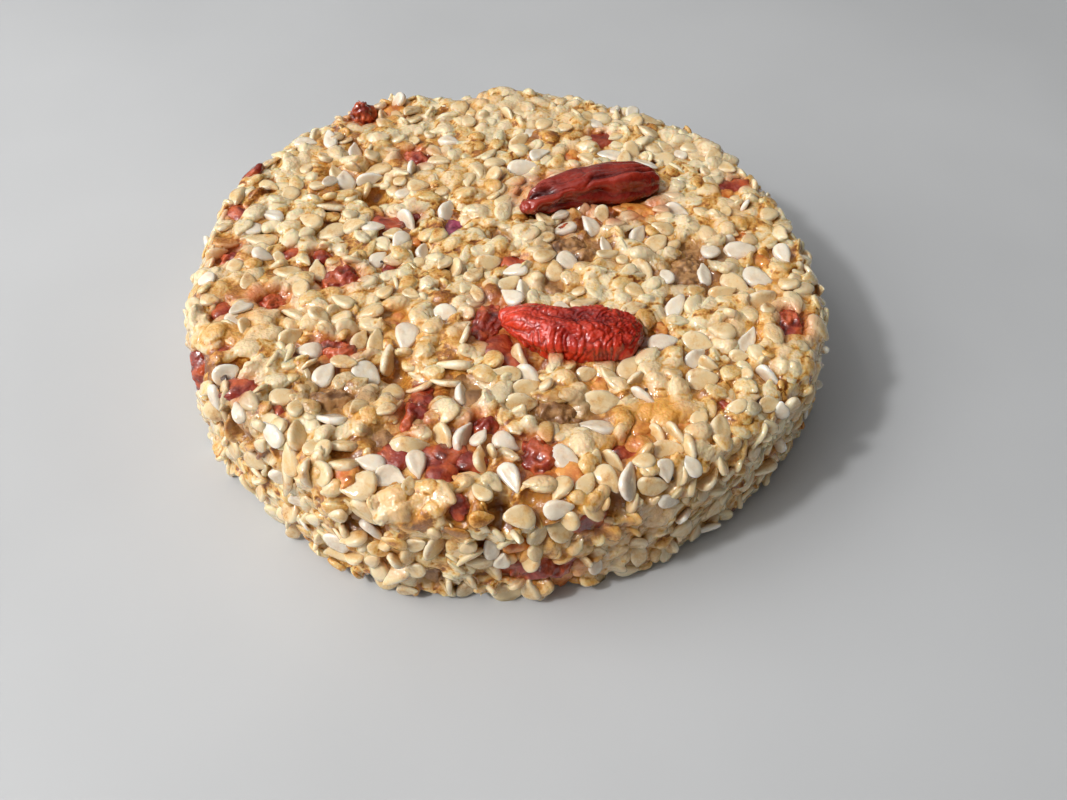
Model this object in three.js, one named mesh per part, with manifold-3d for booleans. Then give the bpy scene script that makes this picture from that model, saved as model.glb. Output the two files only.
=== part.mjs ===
// A round, pressed sesame cookie: seeds set in honey, with two whole goji berries and torn
// pieces of fruit. Millimetres, +Z up. The cookie stands on its flat underside at z = 0, with
// the middle of its box over the origin. Angles are in degrees, anticlockwise from +X as seen
// from above, so the front of the cookie is at -90.
import * as THREE from "three";
import { mergeVertices } from "three/addons/utils/BufferGeometryUtils.js";
import Module from "manifold-3d";

const wasm = await Module();
wasm.setup();

// Driving dimensions
const cookieDiameter = 60;
const cookieHeight = 13;
const seed = { length: 3.4, width: 2.1, thickness: 1.2, narrowing: 0.38 };
const seedCount = 268;
const fruitGap = 0.3;

// The pressed mass under the seeds
const seedStandOut = 0.95;
const massRadius = cookieDiameter / 2 - seedStandOut;
const massHeight = cookieHeight - seedStandOut;
const topRound = 2.2;
const footRound = 0.9;
const footFlare = 0.4;
const skinStep = 3.2;
const aroundSteps = 40;

// Where the hand-pressed rim swells out or falls in: angle, height of the swell, half spread
const rimSwells = [
  { at: 50, by: 0.7, spread: 9 },
  { at: 70, by: -0.8, spread: 9 },
  { at: 100, by: -2.6, spread: 5.5 },
  { at: 120, by: 0.9, spread: 7 },
  { at: 180, by: -0.6, spread: 10 },
  { at: 210, by: 0.5, spread: 8 },
  { at: 228, by: -0.5, spread: 9 },
  { at: 250, by: 0.6, spread: 8 },
  { at: 300, by: -0.6, spread: 14 },
  { at: 344, by: 1.2, spread: 11 },
];

// Low swells and hollows of the top: place, height, half spread
const topSwells = [
  { x: -13.7, y: 9.0, by: -1.6, spread: 1.7 },
  { x: -8.4, y: -15.6, by: -1.3, spread: 1.6 },
  { x: -18, y: 16, by: 0.4, spread: 5 },
  { x: 4, y: 20, by: 0.3, spread: 6 },
  { x: 20, y: -4, by: 0.3, spread: 6 },
  { x: -6, y: -4, by: -0.4, spread: 4 },
  { x: 14, y: -20, by: -0.5, spread: 5 },
];

// The two whole berries: a spine in plan from the thin end to the blunt end, and the greatest
// width and height
const wholeBerries = [
  {
    name: "goji_front",
    spine: [[0.2, -7.9], [2.6, -9.2], [5.6, -10.3], [9.4, -10.2], [13.1, -10.3]],
    middleZ: 13.3,
    width: 6.4,
    height: 4.8,
    thinEnd: 2.6,
    bluntEnd: 6.0,
    folds: { count: 7, depth: 0.13, twist: 1.2 },
    colour: "#b3221c",
  },
  {
    name: "goji_back",
    spine: [[1.6, 6.1], [4.2, 8.4], [7.7, 10.4], [11.6, 11.4], [15.9, 11.7]],
    middleZ: 13.8,
    width: 5.2,
    height: 4.3,
    thinEnd: 2.3,
    bluntEnd: 7.0,
    folds: { count: 4, depth: 0.2, twist: 0.7 },
    colour: "#861712",
  },
];

// Torn pieces of fruit pressed into the top: place, length, width, and how far they turn
const topPieces = [
  { name: "goji_skin_centre", x: -0.9, y: -8.2, length: 7.2, width: 3.8, turn: 78, colour: "#8f1f17" },
  { name: "goji_piece_left", x: -15.2, y: -3.4, length: 5.2, width: 3.6, turn: 30, colour: "#8f1f17" },
  { name: "goji_piece_near_left", x: -14.1, y: -12.7, length: 4.4, width: 3.0, turn: -35, colour: "#b3281c" },
  { name: "goji_piece_front", x: 3.9, y: -23.6, length: 4.8, width: 4.0, turn: -60, colour: "#8f1f17" },
  { name: "goji_piece_back", x: -10.1, y: 15.7, length: 4.6, width: 3.2, turn: -15, colour: "#9c2318" },
  { name: "goji_piece_far_left", x: -26.2, y: -1.0, length: 4.0, width: 2.8, turn: 70, colour: "#b3352a" },
  { name: "honeyed_piece_left", x: -21.2, y: -6.9, length: 4.4, width: 3.0, turn: 10, colour: "#a5481f" },
  { name: "goji_piece_near_rim", x: -0.9, y: -20.9, length: 3.6, width: 2.8, turn: 20, colour: "#b8432a" },
  { name: "goji_skin_front", x: -6.6, y: -19.4, length: 5.4, width: 2.6, turn: 75, colour: "#8a2f1c" },
  { name: "raisin_front", x: 5.6, y: -19.2, length: 5.6, width: 3.0, turn: -12, colour: "#6b4a22" },
  { name: "mulberry_piece_left", x: -13.8, y: -18.3, length: 5.4, width: 3.2, turn: 5, colour: "#9a7040" },
  { name: "mulberry_piece_middle", x: 7.0, y: 2.2, length: 6.6, width: 4.0, turn: 155, colour: "#6f4c33" },
  { name: "mulberry_piece_right", x: 17.7, y: -0.7, length: 5.8, width: 4.4, turn: 60, colour: "#6f4c33" },
  { name: "goji_piece_right_rim", x: 26.9, y: -7.3, length: 3.6, width: 3.4, turn: 20, colour: "#a8291d" },
];

// A lump of fruit that stands up at the back rim
const standingPiece = {
  name: "goji_piece_back_rim",
  x: -16.6,
  y: 23.0,
  length: 4.2,
  width: 4.2,
  turn: 40,
  thickness: 3.8,
  standOut: 2.8,
  colour: "#a8291d",
};

// Pieces that show at the side: angle, height over the floor, and how far they lean
const sidePieces = [
  { name: "goji_end_left", at: 202, z: 7.1, length: 6.0, width: 3.4, turn: 84, colour: "#b3281c" },
  { name: "goji_piece_low", at: -80.5, z: 4.2, length: 6.6, width: 3.2, turn: 8, colour: "#96321b" },
  { name: "mulberry_piece_rim", at: -137, z: 10.7, length: 4.2, width: 3.2, turn: 5, colour: "#9a7040" },
];
const pieceThickness = 2.6;
const pieceStandOut = 1.15;

// How far the middle of a seed lies above the mass, at least and at most, and how steeply, in
// radians, its pointed end may lean either way
const seedLift = { least: 0.3, most: 0.5 };
const seedLean = 0.18;

// The smooth hull that a socket is cut with is a coarse polyhedron, so it is this much larger
// than the fruit with its gap, to stay clear of it in the middle of its flat faces too
const hullSpare = 0.18;

// Seeds that stick out round the foot like a skirt, where the mass was pressed down
const footSeeds = [
  { at: -117, z: 0.9, reach: 1.0, turn: 30 },
  { at: -123, z: 1.1, reach: 0.6, turn: 12 },
  { at: -107, z: 0.8, reach: 0.5, turn: 60 },
  { at: -87, z: 0.8, reach: 0.6, turn: 5 },
  { at: -78, z: 0.7, reach: 0.4, turn: 84 },
  { at: -60, z: 0.9, reach: 0.3, turn: -5 },
  { at: -40, z: 1.0, reach: 0.3, turn: 10 },
];

const up = new THREE.Vector3(0, 0, 1);
const goldenAngle = Math.PI * (3 - Math.sqrt(5));

const random = () => THREE.MathUtils.seededRandom();
THREE.MathUtils.seededRandom(21);

function hill(distance, spread) {
  return Math.exp(-0.5 * (distance / spread) ** 2);
}

function degreesBetween(a, b) {
  return THREE.MathUtils.euclideanModulo(a - b + 180, 360) - 180;
}

// How far the rim stands out of a true circle at one angle
function rimSwell(degrees) {
  return rimSwells.reduce((sum, s) => sum + s.by * hill(degreesBetween(degrees, s.at), s.spread), 0);
}

function topSwell(x, y) {
  return topSwells.reduce((sum, s) => sum + s.by * hill(Math.hypot(x - s.x, y - s.y), s.spread), 0);
}

// Takes a point of a true round disc to the same point of the uneven, hand-pressed one
function pressed(point) {
  const degrees = THREE.MathUtils.radToDeg(Math.atan2(point.y, point.x));
  const rise = THREE.MathUtils.clamp(point.z / massHeight, 0, 1);
  const widen = (massRadius + rimSwell(degrees) + footFlare * (0.5 - rise)) / massRadius;
  const x = point.x * widen;
  const y = point.y * widen;
  return new THREE.Vector3(x, y, point.z + topSwell(x, y) * rise ** 2);
}

function movedVertices(geometry, move) {
  const position = geometry.attributes.position;
  const vertex = new THREE.Vector3();
  for (let i = 0; i < position.count; i += 1) {
    const moved = move(vertex.fromBufferAttribute(position, i));
    position.setXYZ(i, moved.x, moved.y, moved.z);
  }
  return geometry;
}

function solidOf(geometry) {
  const bare = geometry.clone();
  bare.deleteAttribute("normal");
  bare.deleteAttribute("uv");
  const merged = mergeVertices(bare, 1e-4);
  return new wasm.Manifold(
    new wasm.Mesh({
      numProp: 3,
      vertProperties: new Float32Array(merged.attributes.position.array),
      triVerts: new Uint32Array(merged.index.array),
    }),
  );
}

function geometryOf(solid) {
  const mesh = solid.getMesh();
  const geometry = new THREE.BufferGeometry();
  geometry.setAttribute("position", new THREE.BufferAttribute(mesh.vertProperties, 3));
  geometry.setIndex(new THREE.BufferAttribute(mesh.triVerts, 1));
  geometry.computeVertexNormals();
  return geometry;
}

function namedMesh(name, geometry, colour, roughness) {
  const material = new THREE.MeshStandardMaterial({ color: colour, roughness, metalness: 0 });
  const mesh = new THREE.Mesh(geometry, material);
  mesh.name = name;
  return mesh;
}

// Half of the disc's section, from the middle of the top round the rim and down to the foot.
// x is the distance from the middle and y the height.
function skinPath() {
  const path = new THREE.Path();
  path.moveTo(0, massHeight);
  path.lineTo(massRadius - topRound, massHeight);
  path.absarc(massRadius - topRound, massHeight - topRound, topRound, Math.PI / 2, 0, true);
  path.absarc(massRadius - footRound, footRound, footRound, 0, -Math.PI / 2, true);
  return path;
}

const skin = skinPath();

function massGeometry() {
  const points = skin.getSpacedPoints(Math.round(skin.getLength() / skinStep));
  points[0].x = 0;
  points.push(new THREE.Vector2(0, 0));
  const lathe = new THREE.LatheGeometry(points.reverse(), aroundSteps);
  lathe.rotateX(Math.PI / 2);
  return movedVertices(lathe, pressed);
}

// A flat teardrop with five sides: round at one end, pointed at the other. The rings of the
// ball lie off its middle, so half of the width is taken a little larger than a half.
function seedGeometry() {
  const geometry = new THREE.SphereGeometry(1, 5, 3);
  return movedVertices(geometry, (v) => {
    const girth = 1 - seed.narrowing * v.y;
    return new THREE.Vector3(
      v.x * girth * 0.56 * seed.width,
      v.y * 0.5 * seed.length,
      v.z * girth * 0.56 * seed.thickness,
    );
  });
}

const plainSeed = seedGeometry();

// A seed lying at a point of the skin, with its pointed end raised by `tilt` radians. In the
// plane of the skin it is turned by `turn` radians from level, or on the top from +X.
function placedSeed(point, normal, turn, tilt) {
  const level = new THREE.Vector3(1, 0, 0);
  if (normal.z < 0.9) level.crossVectors(up, normal);
  const along = level.projectOnPlane(normal).normalize().applyAxisAngle(normal, turn);
  const across = new THREE.Vector3().crossVectors(along, normal);
  const lie = new THREE.Matrix4().makeBasis(across, along, normal);
  const lean = new THREE.Matrix4().makeRotationX(tilt);
  return plainSeed.clone().applyMatrix4(lie.multiply(lean).setPosition(point));
}

// Places spread evenly over the skin by the golden angle, from the middle of the top outwards
// and down the side. Each has its point and its outward normal.
function skinPlaces(count) {
  const samples = 400;
  const area = [0];
  for (let i = 1; i <= samples; i += 1) {
    area.push(area[i - 1] + skin.getPointAt((i - 0.5) / samples).x);
  }
  const places = [];
  let sample = 0;
  for (let i = 0; i < count; i += 1) {
    const wanted = ((i + 0.5) / count) * area[samples];
    while (area[sample + 1] < wanted) sample += 1;
    const share = (sample + 0.5) / samples;
    const point = skin.getPointAt(share);
    const tangent = skin.getTangentAt(share);
    const angle = i * goldenAngle;
    const place = new THREE.Vector3(point.x * Math.cos(angle), point.x * Math.sin(angle), point.y);
    const outward = new THREE.Vector3(-tangent.y * Math.cos(angle), -tangent.y * Math.sin(angle), tangent.x);
    places.push({ point: pressed(place), normal: outward.normalize() });
  }
  return places;
}

// Half the width of a berry along its length, as a share of its greatest: 0 at both ends, and
// the higher a power, the blunter that end
function berryProfile(t, thinEnd, bluntEnd) {
  return Math.sqrt((1 - (1 - t) ** thinEnd) * (1 - t ** bluntEnd));
}

// A dried berry whose length follows a spine. Its skin has sunk into lengthwise folds. With
// `grow` it is the smooth hull of the same berry, that much larger all round.
function berryGeometry(berry, sides, rings, grow = 0) {
  const spinePoints = berry.spine.map(([x, y]) => new THREE.Vector3(x, y, berry.middleZ));
  const spine = new THREE.CatmullRomCurve3(spinePoints);
  const ball = new THREE.SphereGeometry(1, sides, rings);
  return movedVertices(ball, (v) => {
    const t = THREE.MathUtils.clamp((1 - v.y) / 2, 0, 1);
    const middle = spine.getPointAt(t);
    const along = spine.getTangentAt(t);
    const across = new THREE.Vector3().crossVectors(up, along).normalize();
    const angle = Math.atan2(v.z, v.x);
    const wave = Math.sin(berry.folds.count * angle + berry.folds.twist * 2 * Math.PI * t + Math.sin(5 * t));
    const fold = grow > 0 ? 1 : 1 - berry.folds.depth * (0.5 + 0.5 * wave);
    const girth = berryProfile(t, berry.thinEnd, berry.bluntEnd) * fold;
    const growAcross = grow * Math.min(1, 2 * Math.hypot(v.x, v.z));
    middle.addScaledVector(across, Math.cos(angle) * (girth * 0.5 * berry.width + growAcross));
    middle.addScaledVector(up, Math.sin(angle) * (girth * 0.5 * berry.height + growAcross));
    return middle.addScaledVector(along, -v.y * grow);
  });
}

// A torn piece: an uneven pebble, longer than wide, with `grow` as for a berry
function pieceGeometry(piece, sides, rings, grow = 0) {
  const pebble = new THREE.SphereGeometry(1, sides, rings);
  const phase = piece.length * 9 + piece.turn;
  return movedVertices(pebble, (v) => {
    const angle = Math.atan2(v.z, v.x);
    const dent = 0.05 * Math.sin(3 * angle + phase) + 0.05 * Math.sin(4 * v.y + 2 * angle + phase);
    const fold = grow > 0 ? 1 : 0.92 + dent * Math.hypot(v.x, v.z);
    return new THREE.Vector3(
      v.x * (0.5 * piece.width * fold + grow),
      v.y * (0.5 * piece.length * fold + grow),
      v.z * (0.5 * (piece.thickness ?? pieceThickness) * fold + grow),
    );
  });
}

// Where a torn piece is set: sunk in the skin so that only its back stands out
function pieceSeat(piece) {
  const turn = THREE.MathUtils.degToRad(piece.turn);
  const sunk = (piece.thickness ?? pieceThickness) / 2 - (piece.standOut ?? pieceStandOut);
  if (piece.at === undefined) {
    const z = massHeight + topSwell(piece.x, piece.y) - sunk;
    const lie = new THREE.Matrix4().makeRotationZ(turn - Math.PI / 2);
    return lie.setPosition(piece.x, piece.y, z);
  }
  const angle = THREE.MathUtils.degToRad(piece.at);
  const outward = new THREE.Vector3(Math.cos(angle), Math.sin(angle), 0);
  const rim = pressed(outward.clone().multiplyScalar(massRadius).setZ(piece.z));
  const sideways = new THREE.Vector3().crossVectors(up, outward).applyAxisAngle(outward, turn);
  const across = new THREE.Vector3().crossVectors(sideways, outward);
  const lie = new THREE.Matrix4().makeBasis(across, sideways, outward);
  return lie.setPosition(rim.addScaledVector(outward, -sunk));
}

// Every piece of fruit as its name, colour, its own shape and the smooth hull that clears it
function fruits() {
  const whole = wholeBerries.map((berry) => ({
    name: berry.name,
    colour: berry.colour,
    shape: berryGeometry(berry, 24, 11),
    hull: berryGeometry(berry, 10, 7, fruitGap + hullSpare),
  }));
  const torn = [...topPieces, standingPiece, ...sidePieces].map((piece) => ({
    name: piece.name,
    colour: piece.colour,
    shape: pieceGeometry(piece, 10, 6).applyMatrix4(pieceSeat(piece)),
    hull: pieceGeometry(piece, 7, 4, fruitGap + hullSpare).applyMatrix4(pieceSeat(piece)),
  }));
  return [...whole, ...torn];
}

// The seeds that show on the skin, and the ones that stick out round the foot
function seedGeometries() {
  const seeds = skinPlaces(seedCount).map(({ point, normal }) => {
    const lift = THREE.MathUtils.lerp(seedLift.least, seedLift.most, random());
    const middle = point.clone().addScaledVector(normal, lift);
    return placedSeed(middle, normal, 2 * Math.PI * random(), seedLean * (2 * random() - 1));
  });
  footSeeds.forEach(({ at, z, reach, turn }) => {
    const angle = THREE.MathUtils.degToRad(at);
    const outward = new THREE.Vector3(Math.cos(angle), Math.sin(angle), 0);
    const foot = pressed(outward.clone().multiplyScalar(massRadius).setZ(z));
    foot.addScaledVector(outward, reach);
    seeds.push(placedSeed(foot, up, THREE.MathUtils.degToRad(at + 90 + turn), 0));
  });
  return seeds;
}

// The part of everything above the floor
function floorBlock() {
  const side = cookieDiameter * 2;
  const block = new THREE.BoxGeometry(side, side, side);
  block.translate(0, 0, side / 2);
  return solidOf(block);
}

function largestBody(solid) {
  const bodies = solid.decompose();
  return bodies.reduce((best, body) => (body.volume() > best.volume() ? body : best));
}

// The mass with its seeds fused on, sockets cut for the fruit, and the underside flat. A seed
// that would cross a piece of fruit is left out.
function seedMassSolid(hulls) {
  const sockets = wasm.Manifold.union(hulls.map(solidOf));
  const seeds = seedGeometries()
    .map(solidOf)
    .filter((solid) => solid.intersect(sockets).isEmpty());
  const fused = wasm.Manifold.union([solidOf(massGeometry()), ...seeds]);
  return largestBody(fused.subtract(sockets).intersect(floorBlock()));
}

function cookieGroup() {
  const group = new THREE.Group();
  const pieces = fruits();
  const mass = seedMassSolid(pieces.map((piece) => piece.hull));
  group.add(namedMesh("seed_mass", geometryOf(mass), "#dcbf8a", 0.55));
  pieces.forEach((piece) => group.add(namedMesh(piece.name, piece.shape, piece.colour, 0.4)));
  const box = new THREE.Box3().setFromObject(group);
  const middle = box.getCenter(new THREE.Vector3());
  group.children.forEach((mesh) => mesh.position.set(-middle.x, -middle.y, 0));
  return group;
}

export default cookieGroup();
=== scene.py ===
# %% [markdown]
# # A pressed sesame cookie
# This lesson dresses a plain solid model of a cookie: thousands of sesame seeds set in honey, two
# whole goji berries lying on the top, and torn scraps of dried fruit pressed in among the seeds.
# The solid model comes first and stays where it is. Every piece made here is built round it, in
# the same place and at the same size, so nothing has to be fitted afterwards.

# %% Load the solid model
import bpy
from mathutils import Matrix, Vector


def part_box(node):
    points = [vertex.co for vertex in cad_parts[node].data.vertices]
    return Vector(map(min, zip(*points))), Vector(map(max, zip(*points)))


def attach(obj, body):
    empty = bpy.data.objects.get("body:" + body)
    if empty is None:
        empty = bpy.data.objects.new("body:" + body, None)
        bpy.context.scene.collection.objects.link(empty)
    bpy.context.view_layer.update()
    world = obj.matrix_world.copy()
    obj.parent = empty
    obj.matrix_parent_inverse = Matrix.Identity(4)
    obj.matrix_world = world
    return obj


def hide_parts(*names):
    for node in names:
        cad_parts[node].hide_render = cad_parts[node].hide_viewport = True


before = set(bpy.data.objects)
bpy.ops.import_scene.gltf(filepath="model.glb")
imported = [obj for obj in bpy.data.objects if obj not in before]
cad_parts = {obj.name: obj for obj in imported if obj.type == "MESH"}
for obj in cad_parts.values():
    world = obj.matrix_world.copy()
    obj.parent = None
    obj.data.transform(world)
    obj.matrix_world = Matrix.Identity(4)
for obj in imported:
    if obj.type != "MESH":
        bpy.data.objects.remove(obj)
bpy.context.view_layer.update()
print("solids in the model:", len(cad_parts))

# %% [markdown]
# The shapes are worked out with numpy, which moves many points at once, and only then handed to
# Blender. Lengths are in millimetres until a mesh is made, because a cookie is easier to think
# about in millimetres, and Blender gets metres. Every draw of chance comes from one seeded
# source, so the cookie comes out the same each time.

# %% Units, chance and the size of the cookie
import math
import bpy
import numpy as np
from mathutils import Matrix, Vector
from mathutils.bvhtree import BVHTree
from mathutils.kdtree import KDTree

mm = 0.001
chance = np.random.default_rng(11)
ring_middle = np.array([-0.55, 0.37, 0.0])
cookie_radius = 30.0
cookie_height = 13.0
top_round = 2.2
foot_round = 1.0
foot_flare = 0.4


# %% [markdown]
# ## The camera
# A photograph has a place it was taken from. The camera stands there, 102 mm from the cookie and
# looking down at about 50 degrees, with a lens that is as wide as the outline of the round rim
# asks for. It is turned a little about its own line of sight, as a phone in the hand is. A camera
# could also be moved by eye until the picture looks right, but then nothing could be put at a
# pixel later, so its place is written down in numbers.

# %% Camera
camera_place = np.array([3.461, -73.381, 77.826]) + ring_middle
camera_target = np.array([3.461, -6.954, 0.0]) + ring_middle
camera_roll = math.radians(2.196)
frame_width_px = 1067
frame_height_px = 800
focal_px = 1000.0
sensor_mm = 36.0


def make_camera():
    data = bpy.data.cameras.new("camera")
    data.sensor_width = sensor_mm
    data.lens = focal_px / frame_width_px * sensor_mm
    data.clip_start = 0.005
    data.clip_end = 20.0
    camera = bpy.data.objects.new("camera", data)
    bpy.context.scene.collection.objects.link(camera)
    sight = Vector(camera_target - camera_place)
    aim = sight.to_track_quat("-Z", "Y").to_matrix().to_4x4()
    place = Matrix.Translation(Vector(camera_place * mm))
    camera.matrix_world = place @ aim @ Matrix.Rotation(camera_roll, 4, "Z")
    bpy.context.scene.camera = camera
    return camera


camera = make_camera()
print("lens", round(camera.data.lens, 2), "mm")

# %% [markdown]
# Some seeds catch the eye, and each lies at a place that can be pointed at. To put one there, a
# ray goes from the camera through that pixel, and the seed goes where the ray meets the cookie.

# %% The ray through a pixel


def pixel_ray(across_px, down_px):
    turn = camera.matrix_world.to_3x3()
    right = (across_px - frame_width_px / 2) / focal_px
    up = (frame_height_px / 2 - down_px) / focal_px
    return np.array(turn @ Vector((right, up, -1.0)))


middle_ray = pixel_ray(frame_width_px / 2, frame_height_px / 2)
print("the ray through the middle of the picture", middle_ray.round(2))

# %% [markdown]
# ## The uneven round shape
# The cookie was pressed by hand in a ring, so its rim swells and falls in a little. Each swell is
# a smooth hill round one angle, and the same hills shape the solid model. A section through half
# of the cookie, turned round the middle, gives the skin that the seeds are dropped on. Points
# could be taken from the solid's mesh instead, but a formula also tells how deep a point lies.
#
# A swell of the rim has its angle in degrees, how far it stands out and its width in degrees. A
# swell of the top has its place from the middle, how far it stands up and its width.

# %% The pressed outline
rim_swells = (
    (50, 0.7, 9),
    (70, -0.8, 9),
    (100, -2.6, 5.5),
    (120, 0.9, 7),
    (180, -0.6, 10),
    (210, 0.5, 8),
    (228, -0.5, 9),
    (250, 0.6, 8),
    (300, -0.6, 14),
    (344, 1.2, 11),
)
top_swells = (
    (-13.7, 9.0, -1.6, 1.7),
    (-8.4, -15.6, -1.3, 1.6),
    (-18, 16, 0.4, 5),
    (4, 20, 0.3, 6),
    (20, -4, 0.3, 6),
    (-6, -4, -0.4, 4),
    (14, -20, -0.5, 5),
)


def hill(distance, spread):
    return np.exp(-0.5 * (distance / spread) ** 2)


def smoothstep(value, low, high):
    t = np.clip((value - low) / (high - low), 0, 1)
    return t * t * (3 - 2 * t)


def rim_swell(degrees):
    return sum(by * hill((degrees - at + 180) % 360 - 180, spread) for at, by, spread in rim_swells)


def top_swell(x, y):
    return sum(by * hill(np.hypot(x - at_x, y - at_y), spread) for at_x, at_y, by, spread in top_swells)


print("swells of the rim:", len(rim_swells), "and of the top:", len(top_swells))

# %% [markdown]
# The disc is thought of as truly round first, and one function moves its points out and up by the
# swells. Its section is a line of points from the middle of the top round the rim, down the side
# and in again to the middle below, with the way out of the skin at each.

# %% The section of the skin


def pressed(points):
    """Takes points of a true round disc to the uneven one."""
    degrees = np.degrees(np.arctan2(points[:, 1], points[:, 0]))
    rise = np.clip(points[:, 2] / cookie_height, 0, 1)
    widen = (cookie_radius + rim_swell(degrees) + foot_flare * (0.5 - rise)) / cookie_radius
    moved = points.copy()
    moved[:, :2] *= widen[:, None]
    moved[:, 2] += top_swell(moved[:, 0], moved[:, 1]) * rise**2
    return moved + ring_middle


section_steps = 900
corner_steps = 30


def round_corner(radius, centre_height, from_degrees, to_degrees):
    turn = np.radians(np.linspace(from_degrees, to_degrees, corner_steps))
    out, up = np.cos(turn), np.sin(turn)
    return np.stack([cookie_radius - radius + radius * out, centre_height + radius * up, out, up], axis=1)


def skin_section():
    """Distance from the middle, height and outward normal along half of the disc's section."""
    top = np.array([[0.0, cookie_height, 0.0, 1.0], [cookie_radius - top_round, cookie_height, 0.0, 1.0]])
    rim = round_corner(top_round, cookie_height - top_round, 90, 0)
    foot = round_corner(foot_round, foot_round, 0, -90)
    under = np.array([[0.0, 0.0, 0.0, -1.0]])
    corners = np.concatenate([top, rim, foot, under])
    length = np.concatenate([[0], np.cumsum(np.hypot(*np.diff(corners[:, :2], axis=0).T))])
    even = np.linspace(0, length[-1], section_steps)
    return np.stack([np.interp(even, length, column) for column in corners.T], axis=1)


section = skin_section()
print("skin section", len(section), "steps")

# %% [markdown]
# Most seeds lie at places drawn by chance. A ring far from the middle has more skin than one near
# it, so each step of the section counts by its distance from the middle. With even steps the
# seeds would crowd in the middle of the top.

# %% Places drawn by chance
section_area = np.cumsum(section[:, 0])
section_area /= section_area[-1]


def skin_places(count):
    """Random places on the skin, evenly by area: points and outward normals."""
    row = np.searchsorted(section_area, chance.random(count))
    turn = chance.random(count) * 2 * np.pi
    out, height, normal_out, normal_up = section[np.clip(row, 0, len(section) - 1)].T
    points = np.stack([out * np.cos(turn), out * np.sin(turn), height], axis=1)
    normals = np.stack([normal_out * np.cos(turn), normal_out * np.sin(turn), normal_up], axis=1)
    return pressed(points), normals / np.linalg.norm(normals, axis=1, keepdims=True)


middle_step = np.searchsorted(section_area, 0.5)
print("half of the skin lies before the step at", section[middle_step, :2].round(1), "mm out and up")

# %% [markdown]
# ## Noise
# Fruit skin, lumps of honey and stains all need soft random waves. Blender's noise textures make
# them for a material, but here they have to move points and decide where seeds lie, so they are
# worked out with numpy. This is gradient noise: each corner of a unit grid gets a random slope,
# and the slopes are blended in between. Folding the noise at zero gives creases, which is how
# wrinkles are made below. Each layer is the same noise seen at another place.

# %% Gradient noise
noise_size = 256
noise_gain = 1.6
layer_step = 17.31
noise_table = np.random.default_rng(3)
noise_slopes = noise_table.normal(size=(noise_size, 3))
noise_slopes /= np.linalg.norm(noise_slopes, axis=1, keepdims=True)
noise_order = noise_table.permutation(noise_size)


def waves(points, size, layer=0):
    """Smooth noise from about -1 to 1 whose hills are about `size` across."""
    scaled = points / size + layer * layer_step
    cell = np.floor(scaled).astype(int)
    inside = scaled - cell
    fade = inside**3 * (inside * (inside * 6 - 15) + 10)
    total = np.zeros(len(points))
    for corner in np.ndindex(2, 2, 2):
        corner = np.array(corner)
        key = (cell + corner) % noise_size
        slot = (noise_order[key[:, 0]] + key[:, 1]) % noise_size
        slot = noise_order[(noise_order[slot] + key[:, 2]) % noise_size]
        reach = (noise_slopes[slot] * (inside - corner)).sum(axis=1)
        weight = np.prod(np.where(corner == 1, fade, 1 - fade), axis=1)
        total += reach * weight
    return total * noise_gain


noise_probe = np.array([[0.1, 0.2, 0.3], [1.5, 2.5, 3.5], [9, 8, 7.5]])
print("noise at three points", waves(noise_probe, 2.0).round(2))

# %% [markdown]
# ## Making meshes from arrays
# Thousands of seeds are far too many for one object each. They are joined before Blender sees
# them: one array of points and one of triangles for each kind of seed. Numbers that a material
# needs, such as how deep a point lies, ride along as attributes of the mesh.

# %% Arrays to meshes


def tri_mesh(name, points, triangles, attributes=None):
    mesh = bpy.data.meshes.new(name)
    mesh.vertices.add(len(points))
    mesh.vertices.foreach_set("co", (points * mm).astype(np.float32).ravel())
    mesh.loops.add(3 * len(triangles))
    mesh.loops.foreach_set("vertex_index", triangles.astype(np.int32).ravel())
    mesh.polygons.add(len(triangles))
    mesh.polygons.foreach_set("loop_start", np.arange(0, 3 * len(triangles), 3, dtype=np.int32))
    mesh.update(calc_edges=True)
    mesh.shade_smooth()
    for key, values in (attributes or {}).items():
        mesh.attributes.new(key, "FLOAT", "POINT").data.foreach_set("value", values.astype(np.float32))
    piece = bpy.data.objects.new(name, mesh)
    bpy.context.scene.collection.objects.link(piece)
    return piece


def points_of(mesh):
    points = np.zeros(3 * len(mesh.vertices), np.float32)
    mesh.vertices.foreach_get("co", points)
    return points.reshape(-1, 3).astype(float) / mm


def triangles_of(mesh):
    mesh.calc_loop_triangles()
    triangles = np.zeros(3 * len(mesh.loop_triangles), np.int32)
    mesh.loop_triangles.foreach_get("vertices", triangles)
    return triangles.reshape(-1, 3)


# %% [markdown]
# Three things happen to arrays again and again: finding which way the skin faces at each point,
# smoothing it, and sending it through one of Blender's modifiers. A modifier works on an object,
# so the arrays become a work piece for a moment. The voxel remesh joins overlapping shapes into
# one skin, and the decimate modifier thins it out afterwards.

# %% Normals, smoothing and modifiers


def normals_of(points, triangles):
    a, b, c = (points[triangles[:, k]] for k in range(3))
    faces = np.cross(b - a, c - a)
    normals = np.zeros_like(points)
    for k in range(3):
        np.add.at(normals, triangles[:, k], faces)
    return normals / np.maximum(np.linalg.norm(normals, axis=1, keepdims=True), 1e-12)


def smoothed(points, triangles, rounds, share=0.5):
    """Moves each point towards the mean of its neighbours."""
    ends = np.concatenate([triangles[:, [0, 1]], triangles[:, [1, 2]], triangles[:, [2, 0]]])
    ends = np.concatenate([ends, ends[:, ::-1]])
    count = np.maximum(np.bincount(ends[:, 0], minlength=len(points)), 1)[:, None]
    for _ in range(rounds):
        total = [np.bincount(ends[:, 0], points[ends[:, 1], k], len(points)) for k in range(3)]
        points = points + share * (np.stack(total, axis=1) / count - points)
    return points


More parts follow.
